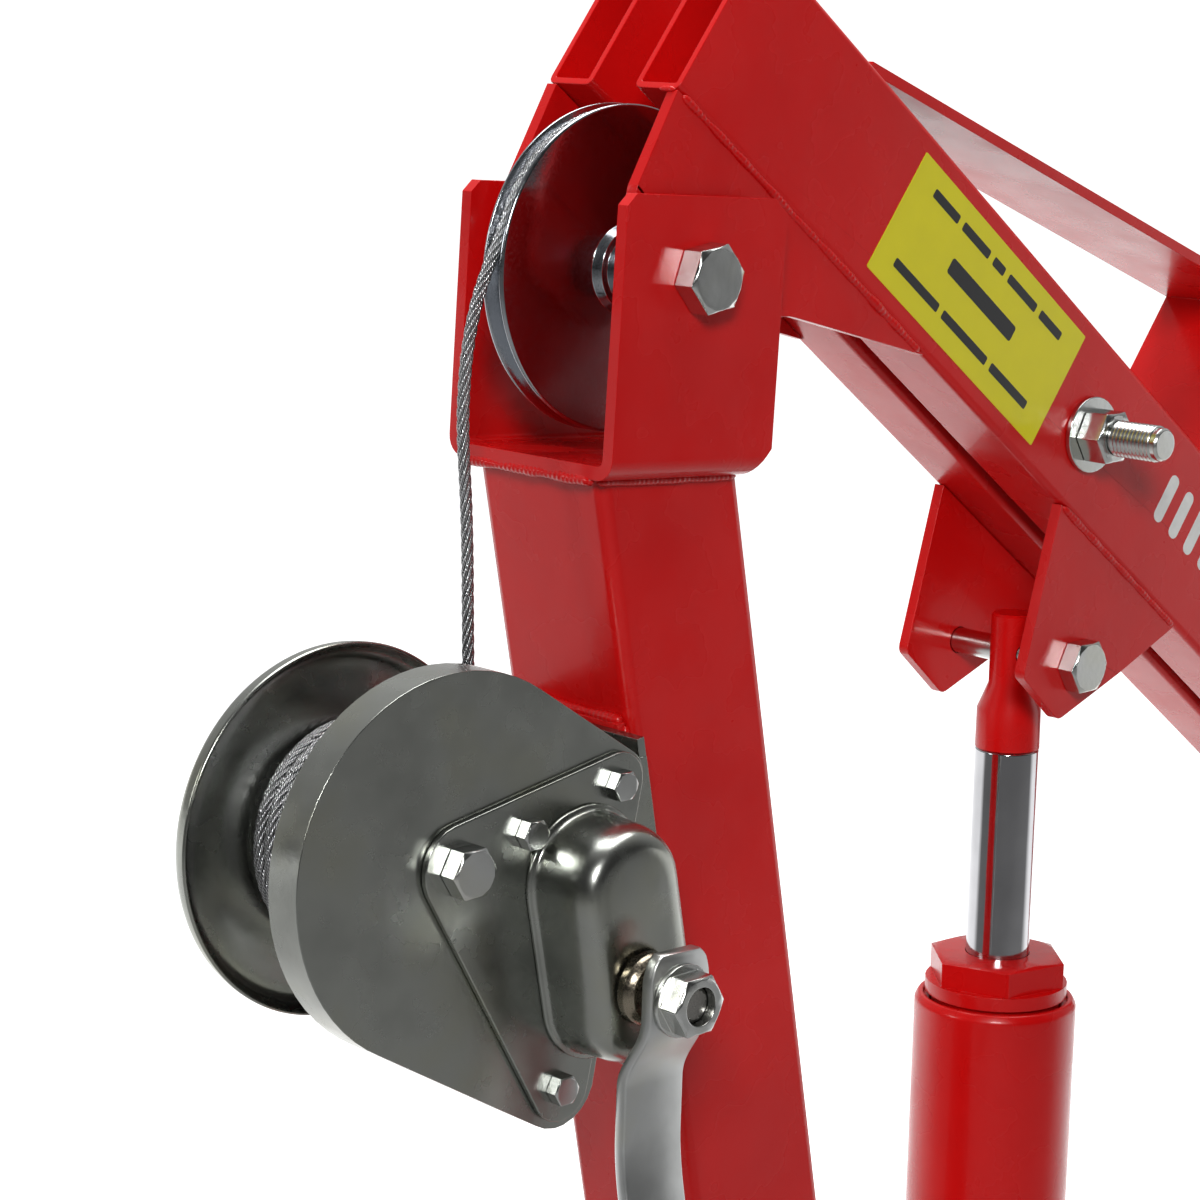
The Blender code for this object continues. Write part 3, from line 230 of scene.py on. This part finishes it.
# ------------------------------------------------------------------ mesh helpers
def finish(name, bm, mat, body, replaces=None, angle=35):
    bmesh.ops.recalc_face_normals(bm, faces=bm.faces)
    me = bpy.data.meshes.new(name)
    bm.to_mesh(me)
    bm.free()
    for p in me.polygons:
        p.use_smooth = True
    me.set_sharp_from_angle(angle=math.radians(angle))
    ob = bpy.data.objects.new(name, me)
    bpy.context.scene.collection.objects.link(ob)
    ob.data.materials.append(mat)
    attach(ob, body)
    if replaces:
        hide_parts(*([replaces] if isinstance(replaces, str) else replaces))
    return ob


def axes(axis):
    w = Vector(axis).normalized()
    a = Vector((0, 0, 1)) if abs(w.z) < 0.9 else Vector((1, 0, 0))
    e1 = w.cross(a).normalized()
    return w, e1, w.cross(e1)


def skin(bm, a, b):
    n = len(a)
    for k in range(n):
        bm.faces.new([a[k], a[(k + 1) % n], b[(k + 1) % n], b[k]])


def turn_into(bm, c, axis, prof, n=96, ring=False):
    """Lathe of (radius, height) points round an axis through c; ring closes the profile on itself."""
    w, e1, e2 = axes(axis)
    c = Vector(c)
    loops = []
    rays = [e1 * math.cos(2 * math.pi * k / n) + e2 * math.sin(2 * math.pi * k / n) for k in range(n)]
    for r, h in prof:
        loops.append([bm.verts.new(world(c + w * h + ray * r)) for ray in rays])
    for a, b in zip(loops, loops[1:]):
        skin(bm, a, b)
    if ring:
        skin(bm, loops[-1], loops[0])
    else:
        bm.faces.new(loops[0])
        bm.faces.new(loops[-1])


def turned(name, c, axis, prof, mat, body, replaces=None, n=96, ring=False, angle=35):
    bm = bmesh.new()
    turn_into(bm, c, axis, prof, n, ring)
    return finish(name, bm, mat, body, replaces, angle)


def soften(prof, r=0.5, n=3, closed=False):
    """Rounds the corners of a lathe profile."""
    out, m = [], len(prof)
    for i, p in enumerate(prof):
        if not closed and i in (0, m - 1):
            out.append(p)
            continue
        p, a, b = Vector(p), Vector(prof[i - 1]), Vector(prof[(i + 1) % m])
        da, db = (a - p), (b - p)
        if da.length < 1e-6 or db.length < 1e-6:
            out.append(tuple(p))
            continue
        q = min(r, da.length * 0.45, db.length * 0.45)
        if da.normalized().dot(db.normalized()) < -0.97:
            out.append(tuple(p))
            continue
        s, e = p + da.normalized() * q, p + db.normalized() * q
        for k in range(n + 1):
            t = k / n
            out.append(tuple(s * (1 - t) ** 2 + p * (2 * t * (1 - t)) + e * t * t))
    return out


def resample(pts, step):
    out, pts = [], [Vector(p) for p in pts]
    acc = 0.0
    out.append(pts[0].copy())
    for a, b in zip(pts, pts[1:]):
        d = (b - a).length
        pos = step - acc
        while pos <= d:
            out.append(a.lerp(b, pos / d))
            pos += step
        acc = d - (pos - step)
    if (out[-1] - pts[-1]).length > step * 0.3:
        out.append(pts[-1].copy())
    else:
        out[-1] = pts[-1].copy()
    return out


def smooth_path(pts, rounds=2):
    pts = [Vector(p) for p in pts]
    for _ in range(rounds):
        new = [pts[0]]
        for a, b in zip(pts, pts[1:]):
            new += [a.lerp(b, 0.25), a.lerp(b, 0.75)]
        new.append(pts[-1])
        pts = new
    return pts


def strand_rope(bm, pts, radius, lay=34.0, strands=6, sides=7):
    """Six strands laid round the rope's centre line along a route, with coordinates for the wires in each strand.
    """
    step = 2.4
    path = resample(pts, step)
    n = len(path)
    tan = [(path[min(i + 1, n - 1)] - path[max(i - 1, 0)]).normalized() for i in range(n)]
    ref = Vector((0, 1, 0)) if abs(tan[0].y) < 0.9 else Vector((1, 0, 0))
    e1 = (ref - tan[0] * ref.dot(tan[0])).normalized()
    frames = []
    for t in tan:
        e1 = (e1 - t * e1.dot(t)).normalized()
        frames.append((e1.copy(), t.cross(e1)))
    rs = radius * 0.37
    rc = radius - rs
    uvl = bm.loops.layers.uv.verify()
    dist = [0.0]
    for a, b in zip(path, path[1:]):
        dist.append(dist[-1] + (b - a).length)
    for s in range(strands):
        loops = []
        for i, p in enumerate(path):
            a = 2 * math.pi * dist[i] / lay + 2 * math.pi * s / strands
            u1, u2 = frames[i]
            rad = u1 * math.cos(a) + u2 * math.sin(a)
            side = tan[i].cross(rad)
            c = p + rad * rc
            run = (tan[i] + side * (2 * math.pi * rc / lay)).normalized()
            sd = run.cross(rad)
            loops.append([bm.verts.new(world(c + (rad * math.cos(q) + sd * math.sin(q)) * rs))
                          for q in [2 * math.pi * k / sides for k in range(sides)]])
        for i in range(n - 1):
            for k in range(sides):
                k1 = (k + 1) % sides
                f = bm.faces.new([loops[i][k], loops[i][k1], loops[i + 1][k1], loops[i + 1][k]])
                kk = (k, k + 1, k + 1, k)
                ii = (i, i, i + 1, i + 1)
                for lp, ka, ia in zip(f.loops, kk, ii):
                    lp[uvl].uv = (dist[ia] / 2.1, ka / sides * 3.0)
        bm.faces.new(list(reversed(loops[0])))
        bm.faces.new(loops[-1])


def rope(name, pts, radius, body, replaces):
    bm = bmesh.new()
    strand_rope(bm, pts, radius)
    return finish(name, bm, WIRE, body, replaces, 70)


def tube_bead(name, pts, r, body, ripple=2.6, seed=0.0):
    """A run of weld metal under the paint: an uneven rounded bead with ripples."""
    path = resample(pts, 0.8)
    n = len(path)
    bm = bmesh.new()
    loops, sides = [], 10
    for i, p in enumerate(path):
        t = (path[min(i + 1, n - 1)] - path[max(i - 1, 0)]).normalized()
        a = Vector((0, 1, 0)) if abs(t.y) < 0.9 else Vector((0, 0, 1))
        e1 = (a - t * a.dot(t)).normalized()
        e2 = t.cross(e1)
        w = noise.noise(Vector((i * 0.06, seed, 0.3)))
        rip = abs(math.sin(math.pi * i * 0.8 / ripple + 2 * w))
        end = min(1.0, 0.35 + min(i, n - 1 - i) * 0.25)
        rr = r * (0.8 + 0.18 * rip + 0.35 * w) * end
        c = p + e1 * (0.4 * noise.noise(Vector((i * 0.09, seed + 5, 0))))
        loops.append([bm.verts.new(world(c + (e1 * math.cos(q) + e2 * math.sin(q)) * rr))
                      for q in [2 * math.pi * k / sides for k in range(sides)]])
    for a, b in zip(loops, loops[1:]):
        skin(bm, a, b)
    bm.faces.new(loops[0])
    bm.faces.new(loops[-1])
    return finish(name, bm, RED, body, None, 60)


def loft(bm, loops, closed=False):
    vs = [[bm.verts.new(world(p)) for p in lp] for lp in loops]
    for a, b in zip(vs, vs[1:]):
        skin(bm, a, b)
    if closed:
        skin(bm, vs[-1], vs[0])
    else:
        bm.faces.new(vs[0])
        bm.faces.new(vs[-1])


# ------------------------------------------------------------------ carried-over solids: finish and eased edges
# width of the eased edge of each larger solid, in millimetres
EDGE = {"mast_tube": 0.4, "boom_tube_left": 0.35, "boom_tube_right": 0.35, "base_plate": 1.5, "yoke": 1.0,
        "truss_brace": 1.2, "boom_cheek_left": 1.0, "boom_cheek_right": 1.0, "ram_ear_left": 0.9,
        "ram_ear_right": 0.9, "gear_cover": 1.5, "gland_nut": 0.9, "winch_side_plate": 0.7, "winch_frame": 0.7,
        "ram_foot_bracket": 0.9, "tip_bracket": 0.8, "base_spigot": 0.8, "ram_pump_base": 1.2}
SMALL_EDGE = 0.45
RED_NODES = ("base_plate base_spigot swivel_sleeve mast_tube yoke ram_foot_bracket winch_mount_plate "
             "boom_tube_left boom_tube_right boom_cheek_left boom_cheek_right ram_ear_left ram_ear_right "
             "truss_brace tip_bracket ram_rod_end gland_nut ram_cylinder ram_pump_base pump_lever_socket "
             "hook").split()
SHEET = "winch_frame winch_side_plate gear_cover winch_drum brake_housing".split()
for name, ob in frame["nodes"].items():
    ob.data.materials.clear()
    if name in RED_NODES:
        mat = RED
    elif name in SHEET:
        mat = ZINC
    elif name.startswith("rope_"):
        mat = WIRE
    elif name in ("head_sheave", "tip_sheave"):
        mat = SHEAVE
    elif name == "ram_rod":
        mat = CHROME
    elif name in ("main_gear", "crank_shaft", "ratchet_wheel", "brake_pawl"):
        mat = STEEL
    elif name == "brake_bush":
        mat = BRASSY
    elif name == "crank_grip":
        mat = BLACK
    elif name == "crank_arm":
        mat = ARMZ
    else:
        mat = BOLTZ
    ob.data.materials.append(mat)
    weld = ob.modifiers.new("weld", "WELD")
    weld.merge_threshold = 2e-6
    bv = ob.modifiers.new("eased", "BEVEL")
    bv.width = EDGE.get(name, SMALL_EDGE) * 0.001
    bv.segments = 3
    bv.limit_method = "ANGLE"
    bv.angle_limit = math.radians(38)
    bv.use_clamp_overlap = True
    wn = ob.modifiers.new("normals", "WEIGHTED_NORMAL")
    wn.weight = 60
    wn.keep_sharp = False

# ------------------------------------------------------------------ wire rope
ROPE_R, ROPE_LINE_R = 2.75, 66.0
dc = M(-155.2, 0, -117.6)
sc = M(-98.0, 0, -184.0)
RX = dc[0] + 50.5 + ROPE_R + 0.3
riser = [(RX, 0, dc[2] + 4), (RX, 0, -150), (RX + 0.2, 0, -100), (-86.5, 0, -62), (-85.4, 0, -42),
         (-82.8, 0, -24), (-77.6, 0, -6.5), (-70.4, 0, 8.0)]
riser = smooth_path(riser, 3)
A0, A1 = math.radians(158.0), math.radians(90 - 38.5 + 0.6)
riser[-1] = Vector((ROPE_LINE_R * math.cos(A0), 0, ROPE_LINE_R * math.sin(A0)))
for k in range(1, 40):
    a = A0 - (A0 - A1) * k / 39
    riser.append(Vector((ROPE_LINE_R * math.cos(a), 0, ROPE_LINE_R * math.sin(a))))
rope("wire_riser", riser, ROPE_R, "mast", "rope_riser")
rope("wire_boom_run", [B(0.4, 0, ROPE_LINE_R), B(871.6, 0, ROPE_LINE_R)], ROPE_R, "boom", "rope_boom_run")
tx, _, tz = B(872.0, 0, 33.0)
arc = []
for k in range(25):
    a = math.radians((90 - 38.5 - 0.6) * (1 - k / 24))
    arc.append((tx + 33 * math.cos(a), 0, tz + 33 * math.sin(a)))
rope("wire_tip_arc", arc, ROPE_R, "rope_hang", "rope_tip_arc")
hx, DROP, HOIST = tx + 33.0, 420.0, 340.0     # hanging length at rest, and how far the hook rises
drop = rope("wire_drop", [(hx, 0, tz - 0.3), (hx, 0, tz - DROP)], ROPE_R, "rope_hang", "rope_drop")
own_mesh(drop)
# windings on the drum: a lower layer, and an upper layer that leads to the riser
coil = bmesh.new()
turn_into(coil, dc, YP, [(34.6, -30.6), (39.6, -30.4), (39.6, 20.2), (34.6, 20.8)], 64, True)


def winding(r, y_from, y_to, turns, a_from, wob=0.0, seed=0.0):
    pts, n = [], int(turns * 60)
    for k in range(n + 1):
        f = k / n
        a = a_from + 2 * math.pi * turns * f
        y = y_from + (y_to - y_from) * f + wob * noise.noise(Vector((f * turns * 1.7, seed, 0)))
        q = r + 0.4 * wob * noise.noise(Vector((f * turns * 1.3, seed, 3)))
        pts.append((dc[0] + q * math.cos(a), y, dc[2] + q * math.sin(a)))
    return pts


strand_rope(coil, winding(42.3, -27.6, 17.6, 8, 0.3), ROPE_R)
strand_rope(coil, winding(47.0, 16.5, -26.0, 6.4, 0.3, wob=0.9, seed=2.0), ROPE_R)
finish("wire_coil", coil, WIRE, "drum", "rope_coil", 70)

# ------------------------------------------------------------------ sheaves
st = 6.2
prof = [(9.35, -34.2), (15, -34.2), (15, -11), (18, -11), (19.5, -st), (69.2, -st), (70.0, -5.4), (70.0, -4.4),
        (62.9, -2.5), (62.6, 0), (62.9, 2.5), (70.0, 4.4), (70.0, 5.4), (69.2, st), (19.5, st), (18, 11), (15, 11),
        (15, 34.2), (9.35, 34.2)]
turned("sheave_wheel", (0, 0, 0), YP, soften(prof, 0.6, 3, True), SHEAVE, "head_sheave",
       "head_sheave", 160, True)
prof = [(6.35, -13.6), (10, -13.6), (10.5, -6), (37.4, -6), (38, -5.2), (29.8, -2.5), (29.6, 0), (29.8, 2.5),
        (38, 5.2), (37.4, 6), (10.5, 6), (10, 13.6), (6.35, 13.6)]
turned("tip_wheel", B(872, 0, 33), YP, soften(prof, 0.5, 3, True), SHEAVE, "tip_sheave",
       "tip_sheave", 112, True)

# ------------------------------------------------------------------ hydraulic ram
r0 = R(0, 0, 0)
prof = [(15, -49.1), (16, -50), (16, -465), (32.2, -466), (32.2, -486), (16, -487)]
turned("chrome_rod", r0, RAX, soften(prof, 0.4, 3), CHROME, "ram_rod", "ram_rod", 112)
prof = [(36.5, -178.0), (39.0, -178.0), (41, -181.5), (41, -186), (41, -400), (41, -636), (33.0, -636),
        (33.0, -182), (36.5, -181)]
turned("cylinder_tube", r0, RAX, soften(prof, 1.2, 5, True), RED, "ram_cylinder", "ram_cylinder",
       128, True)

# ------------------------------------------------------------------ winch
prof = [(8.3, -36.0), (60, -36.0), (60, -32.5), (34, -31.5), (34, 21.5), (50, 23.0), (62, 26.2), (68, 27.8),
        (73.0, 27.9), (75.6, 26.4), (77.2, 24.0), (78.2, 20.4), (79.2, 20.0), (79.9, 21.0), (79.4, 26.0),
        (77.8, 29.0), (74.5, 30.6), (66, 30.3), (50, 26.0), (36, 24.5), (8.3, 24.5)]
turned("drum_shell", dc, YP, soften(prof, 2.2, 4, True), ZINC, "drum", "winch_drum", 128, True, 60)
y0 = -58.8
DU, DV, SH = -93.4, -169.4, (-98.0, -184.0)


def dome_loop(hw, hh, r, y, rad=None, n=120):
    pts = []
    for k in range(n):
        a = 2 * math.pi * k / n
        ca, sa = math.cos(a), math.sin(a)
        t = rad
        if rad is None:
            lo, hi = 1.0, 140.0
            for _ in range(30):
                t = (lo + hi) / 2
                qx, qy = abs(SH[0] + t * ca - DU), abs(SH[1] + t * sa - DV)
                dx, dy = max(qx - (hw - r), 0), max(qy - (hh - r), 0)
                if qx <= hw and qy <= hh and math.hypot(dx, dy) <= r:
                    lo = t
                else:
                    hi = t
        pts.append(M(SH[0] + t * ca, y, SH[1] + t * sa))
    return pts


# half width, half height, corner radius and depth of each section, outside first, then inside
outside = [(31.5, 55.5, 29.5, 0.0), (31.5, 55.5, 29.5, 1.2), (31.0, 55.0, 29.0, 1.6), (30.2, 54.2, 28.3, 1.7),
           (29.4, 53.4, 27.6, 2.2), (28.9, 52.9, 27.2, 3.2), (28.7, 52.7, 27.0, 5.0), (28.3, 52.3, 26.6, 14.0),
           (28.0, 52.0, 26.3, 20.0), (27.4, 51.4, 25.8, 24.0), (26.4, 50.4, 24.9, 27.6), (24.9, 48.9, 23.4, 30.4),
           (22.8, 46.8, 21.3, 32.2), (20.0, 44.0, 18.6, 33.2), (16.0, 40.0, 15.0, 33.7)]
inside = [(20, 44, 18.5, 32.0), (23.6, 47.6, 22, 30.0), (25.8, 49.8, 24, 26), (26.8, 50.8, 25, 18),
          (28.1, 52.1, 26.3, 0)]
loops = [dome_loop(a, b, c, y0 - d) for a, b, c, d in outside]
loops += [dome_loop(0, 0, 0, y0 - d, rad) for d, rad in ((33.8, 13.2), (33.4, 12.3), (32.3, 12.3))]
loops += [dome_loop(a, b, c, y0 - d) for a, b, c, d in inside]
bm = bmesh.new()
loft(bm, loops, True)
finish("brake_dome", bm, ZINC, "mast", "brake_housing", 70)
prof = [(8.1, 86.8), (12.0, 86.8), (12.0, 93.8), (15.5, 93.8), (15.5, 97.6), (14.6, 99.2), (12.6, 101.3),
        (8.1, 101.3)]
turned("bronze_bush", sc, YM, soften(prof, 0.5, 3, True), BRASSY, "mast", "brake_bush", 80, True)

# crank arm with rounded edges
AY = -112.0
AR = Frame(2.5, (sc[0], sc[2]))


def s_curve(t):
    return t * t * (3 - 2 * t)


def arm_y(l):
    if l < 8:
        return 0.0
    if l < 38:
        return 13.0 * s_curve((l - 8) / 30)
    if l < 60:
        return 13.0
    if l < 150:
        return 13.0 - 15.0 * s_curve((l - 60) / 90)
    return -2.0


def arm_half(l):
    if l < -8:
        return 14.0 + 2.5 * s_curve((l + 20) / 12) - max(0, -17 - l) * 1.0
    if l > 215:
        return 16.5 * math.sqrt(max(1 - ((l - 215) / 16.2) ** 2, 0.05))
    return 16.5


bm = bmesh.new()
lp, l = [], -20.0
while l <= 230.0:
    w, yy, q, e = arm_half(l), AY + arm_y(l), 3.0, 1.1
    c = e * 0.3
    sec = [(-w, -q + e), (-w + c, -q + c), (-w + e, -q), (w - e, -q), (w - c, -q + c), (w, -q + e), (w, q - e),
           (w - c, q - c), (w - e, q), (-w + e, q), (-w + c, q - c), (-w, q - e)]
    lp.append([AR(a, yy + b, -l) for a, b in sec])
    l += 2.0
loft(bm, lp)
finish("crank_lever", bm, ARMZ, "crank", None, 50)
gp = AR(0, 0, -215.0)
bm = bmesh.new()
prof = [(5.0, -1.0), (5.0, 114.5), (9.0, 114.5), (9.0, 117.5), (7.5, 119)]
turn_into(bm, (gp[0], AY - 2.0, gp[2]), YM, soften(prof, 0.5), 48)
finish("crank_axle", bm, BOLTZ, "crank", "crank_arm", 35)
prof = [(5.4, 5.0), (11, 5.0), (13.5, 8), (13.0, 30), (14.2, 50), (14.5, 62), (14.0, 95), (12.0, 106), (8.5, 110),
        (5.4, 110)]
turned("grip_sleeve", (gp[0], AY - 2.0, gp[2]), YM, soften(prof, 1.5, 4, True), BLACK, "crank_grip",
       "crank_grip", 80, True)


# ------------------------------------------------------------------ threads on exposed bolt ends
def thread(name, c, axis, r, h0, h1, body, pitch=2.2):
    prof, h = [(r - 0.8, h0)], h0
    while h + pitch <= h1:
        prof += [(r - 0.1, h + 0.1), (r + 0.85, h + pitch * 0.42), (r + 0.85, h + pitch * 0.58),
                 (r - 0.1, h + pitch * 0.9)]
        h += pitch
    prof.append((r - 0.8, h))
    return turned(name, c, axis, prof, BOLTZ, body, None, 48, False, 80)


XB = (276.0, 96.0)
thread("cross_bolt_thread", B(XB[0], 0, XB[1]), YM, 8.0, 58.5, 84.5, "boom")
thread("pivot_bolt_thread", (0, 0, 0), YP, 9.0, 67.0, 75.0, "mast")
thread("ram_bolt_thread", B(343.0, 0, 4.0), YP, 6.5, 53.5, 66.0, "boom", 1.75)


# ------------------------------------------------------------------ weld beads under the paint
def line(F, y, a, b):
    return [F(a[0], y, a[1]), F(b[0], y, b[1])]


for s, tag in ((-1, "right"), (1, "left")):
    tube_bead("weld_cheek_" + tag, line(B, s * 40.2, (-46, 58.4), (146, 58.4)), 2.1, "boom", seed=1.0 + s)
    tube_bead("weld_ear_" + tag, line(B, s * 40.2, (283, 58.4), (398, 58.4)), 1.9, "boom", seed=4.0 + s)
    tube_bead("weld_truss_rear_" + tag, line(B, s * 32.6, (48, 139.6), (70, 139.6)), 1.8, "boom", seed=7.0 + s)
    tube_bead("weld_truss_front_" + tag, line(B, s * 32.6, (664, 139.6), (690, 139.6)), 1.8, "boom",
              seed=9.0 + s)
    tube_bead("weld_plate_" + tag, line(M, s * 36.2, (-40.6, -100), (-40.6, -250)), 2.4, "mast", seed=12.0 + s)
tube_bead("weld_cheek_end", [B(-50.2, -39, 58.6), B(-50.2, -30, 58.6)], 1.6, "boom", seed=17.0)
tube_bead("weld_yoke_rear", [K(-42.5, -39.5, -85.8), K(-42.5, 39.5, -85.8)], 2.6, "mast", seed=20.0)
tube_bead("weld_yoke_near", [K(-41, -40.6, -86.0), K(40, -40.6, -86.0)], 2.2, "mast", seed=22.0)
tube_bead("weld_yoke_far", [K(-41, 40.6, -86.0), K(40, 40.6, -86.0)], 2.2, "mast", seed=23.0)
tube_bead("weld_plate_top", [M(-41.5, -35.5, -97.3), M(-41.5, 35.5, -97.3)], 2.8, "mast", seed=25.0)


# ------------------------------------------------------------------ label and stencil mark, plain shapes only
def decal(name, shapes, y, thick, mat, body):
    bm = bmesh.new()
    for poly in shapes:
        a = [bm.verts.new(world(B(u, y, v))) for u, v in poly]
        b = [bm.verts.new(world(B(u, y - thick, v))) for u, v in poly]
        bm.faces.new(a)
        bm.faces.new(b)
        skin(bm, a, b)
    return finish(name, bm, mat, body, None, 40)


def rrect(u0, v0, u1, v1, r=3.0, n=5):
    pts = []
    for cx, cy, a0 in ((u1 - r, v1 - r, 0), (u0 + r, v1 - r, 90), (u0 + r, v0 + r, 180), (u1 - r, v0 + r, 270)):
        for k in range(n + 1):
            a = math.radians(a0 + 90 * k / n)
            pts.append((cx + r * math.cos(a), cy + r * math.sin(a)))
    return pts


FY = -40.5      # outer face of the right-hand boom tube
decal("label_plate", [rrect(92, 68, 242, 130, 0.8)], FY - 0.02, 0.22, YELLOW, "boom")
upper = ((108, 130), (134, 158), (162, 172), (176, 202), (206, 226))
bars = [rrect(u0, 117.0, u1, 121.5, 1.0) for u0, u1 in upper]
bars += [rrect(138, 96.5, 196, 104.5, 1.5)]
bars += [rrect(u0, 78.0, u1, 82.5, 1.0) for u0, u1 in ((106, 144), (148, 188), (192, 226))]
decal("label_bars", bars, FY - 0.26, 0.06, INK, "boom")
stencil = [rrect(u0, 91.5, u0 + 8.0, 117.5, 3.5) for u0 in (346, 362, 378, 394)]
decal("stencil_bars", stencil, FY - 0.02, 0.1, WHITE, "boom")

# ------------------------------------------------------------------ stage: pale floor, soft light, camera
bpy.ops.mesh.primitive_plane_add(size=400, location=(6, 6, 0.0))
floor = bpy.context.object
floor.name = "floor"
fm, ft, fb = material("pale_floor", (0.86, 0.86, 0.86), 0.0, 0.9)
ahead = ft.nodes.new("ShaderNodeVectorMath")     # painted light and shade: the floor is painted bright beyond the crane, painted darker on the side the camera stands, and glows though it is no lamp
ahead.operation = "DOT_PRODUCT"
ahead.inputs[1].default_value = (0.678, 0.735, 0.0)
ft.links.new(coords(ft), ahead.inputs[0])
SHIFT = 8.5      # the floor's own centre lies this far ahead of the crane
floor_painted_glow = remap(ft, ahead.outputs["Value"], -0.1 - SHIFT, 1.3 - SHIFT, 0.0, 1.0)
ft.links.new(ramp(ft, floor_painted_glow, [(0.0, (0.30,) * 3), (1.0, (0.86,) * 3)]), fb.inputs["Base Color"])
fb.inputs["Emission Color"].default_value = (1, 1, 1, 1)
# painted glow: emission strength rises from 0.05 near the camera to 0.85 beyond the crane
ft.links.new(remap(ft, floor_painted_glow, 0.0, 1.0, 0.05, 0.85), fb.inputs["Emission Strength"])
floor.data.materials.append(fm)

scene = bpy.context.scene
w = bpy.data.worlds.new("studio")
scene.world = w
w.use_nodes = True
wt = w.node_tree
bg = wt.nodes["Background"]
tc = wt.nodes.new("ShaderNodeTexCoord")
dot = wt.nodes.new("ShaderNodeVectorMath")
dot.operation = "DOT_PRODUCT"
dot.inputs[1].default_value = (0.60, 0.62, 0.50)     # brighter ahead and overhead, darker behind the camera
wt.links.new(tc.outputs["Generated"], dot.inputs[0])
sky = [(0.0, (0.02,) * 3), (0.5, (0.05,) * 3), (0.68, (0.30,) * 3), (1.0, (0.6,) * 3)]
wt.links.new(ramp(wt, remap(wt, dot.outputs["Value"], -1.0, 1.0, 0.0, 1.0), sky), bg.inputs["Color"])
bg.inputs["Strength"].default_value = 1.0


def area(name, loc, target, size, power, size_y=None):
    li = bpy.data.lights.new(name, "AREA")
    li.energy = power
    li.size = size
    if size_y:
        li.shape, li.size_y = "RECTANGLE", size_y
    ob = bpy.data.objects.new(name, li)
    scene.collection.objects.link(ob)
    ob.location = loc
    ob.rotation_euler = (Vector(target) - Vector(loc)).to_track_quat("-Z", "Y").to_euler()
    return ob


area("overhead", (0.6, 0.3, 4.2), (0.2, 0.1, 0.9), 2.4, 120)
area("key", (-2.6, -2.6, 3.0), (0.0, 0.0, 1.1), 0.9, 100)
area("side", (-2.8, 1.2, 2.0), (-0.1, 0, 1.1), 0.7, 14)

cam = bpy.data.cameras.new("photo_view")
cam.lens, cam.sensor_width, cam.sensor_fit = 93.66, 36.0, "HORIZONTAL"
cam.clip_start, cam.clip_end = 0.05, 200
co = bpy.data.objects.new("photo_view", cam)
scene.collection.objects.link(co)
right, up, look = (0.73509, -0.67797, 0), (0.14090, 0.15277, 0.97816), (0.66317, 0.71903, -0.20783)
eye = (-1.048665, -0.978730, 1.318841)
mw = co.matrix_world.to_4x4()
for r in range(3):
    mw[r][0], mw[r][1], mw[r][2], mw[r][3] = right[r], up[r], -look[r], eye[r]
co.matrix_world = mw
scene.camera = co
scene.view_settings.view_transform = "Standard"
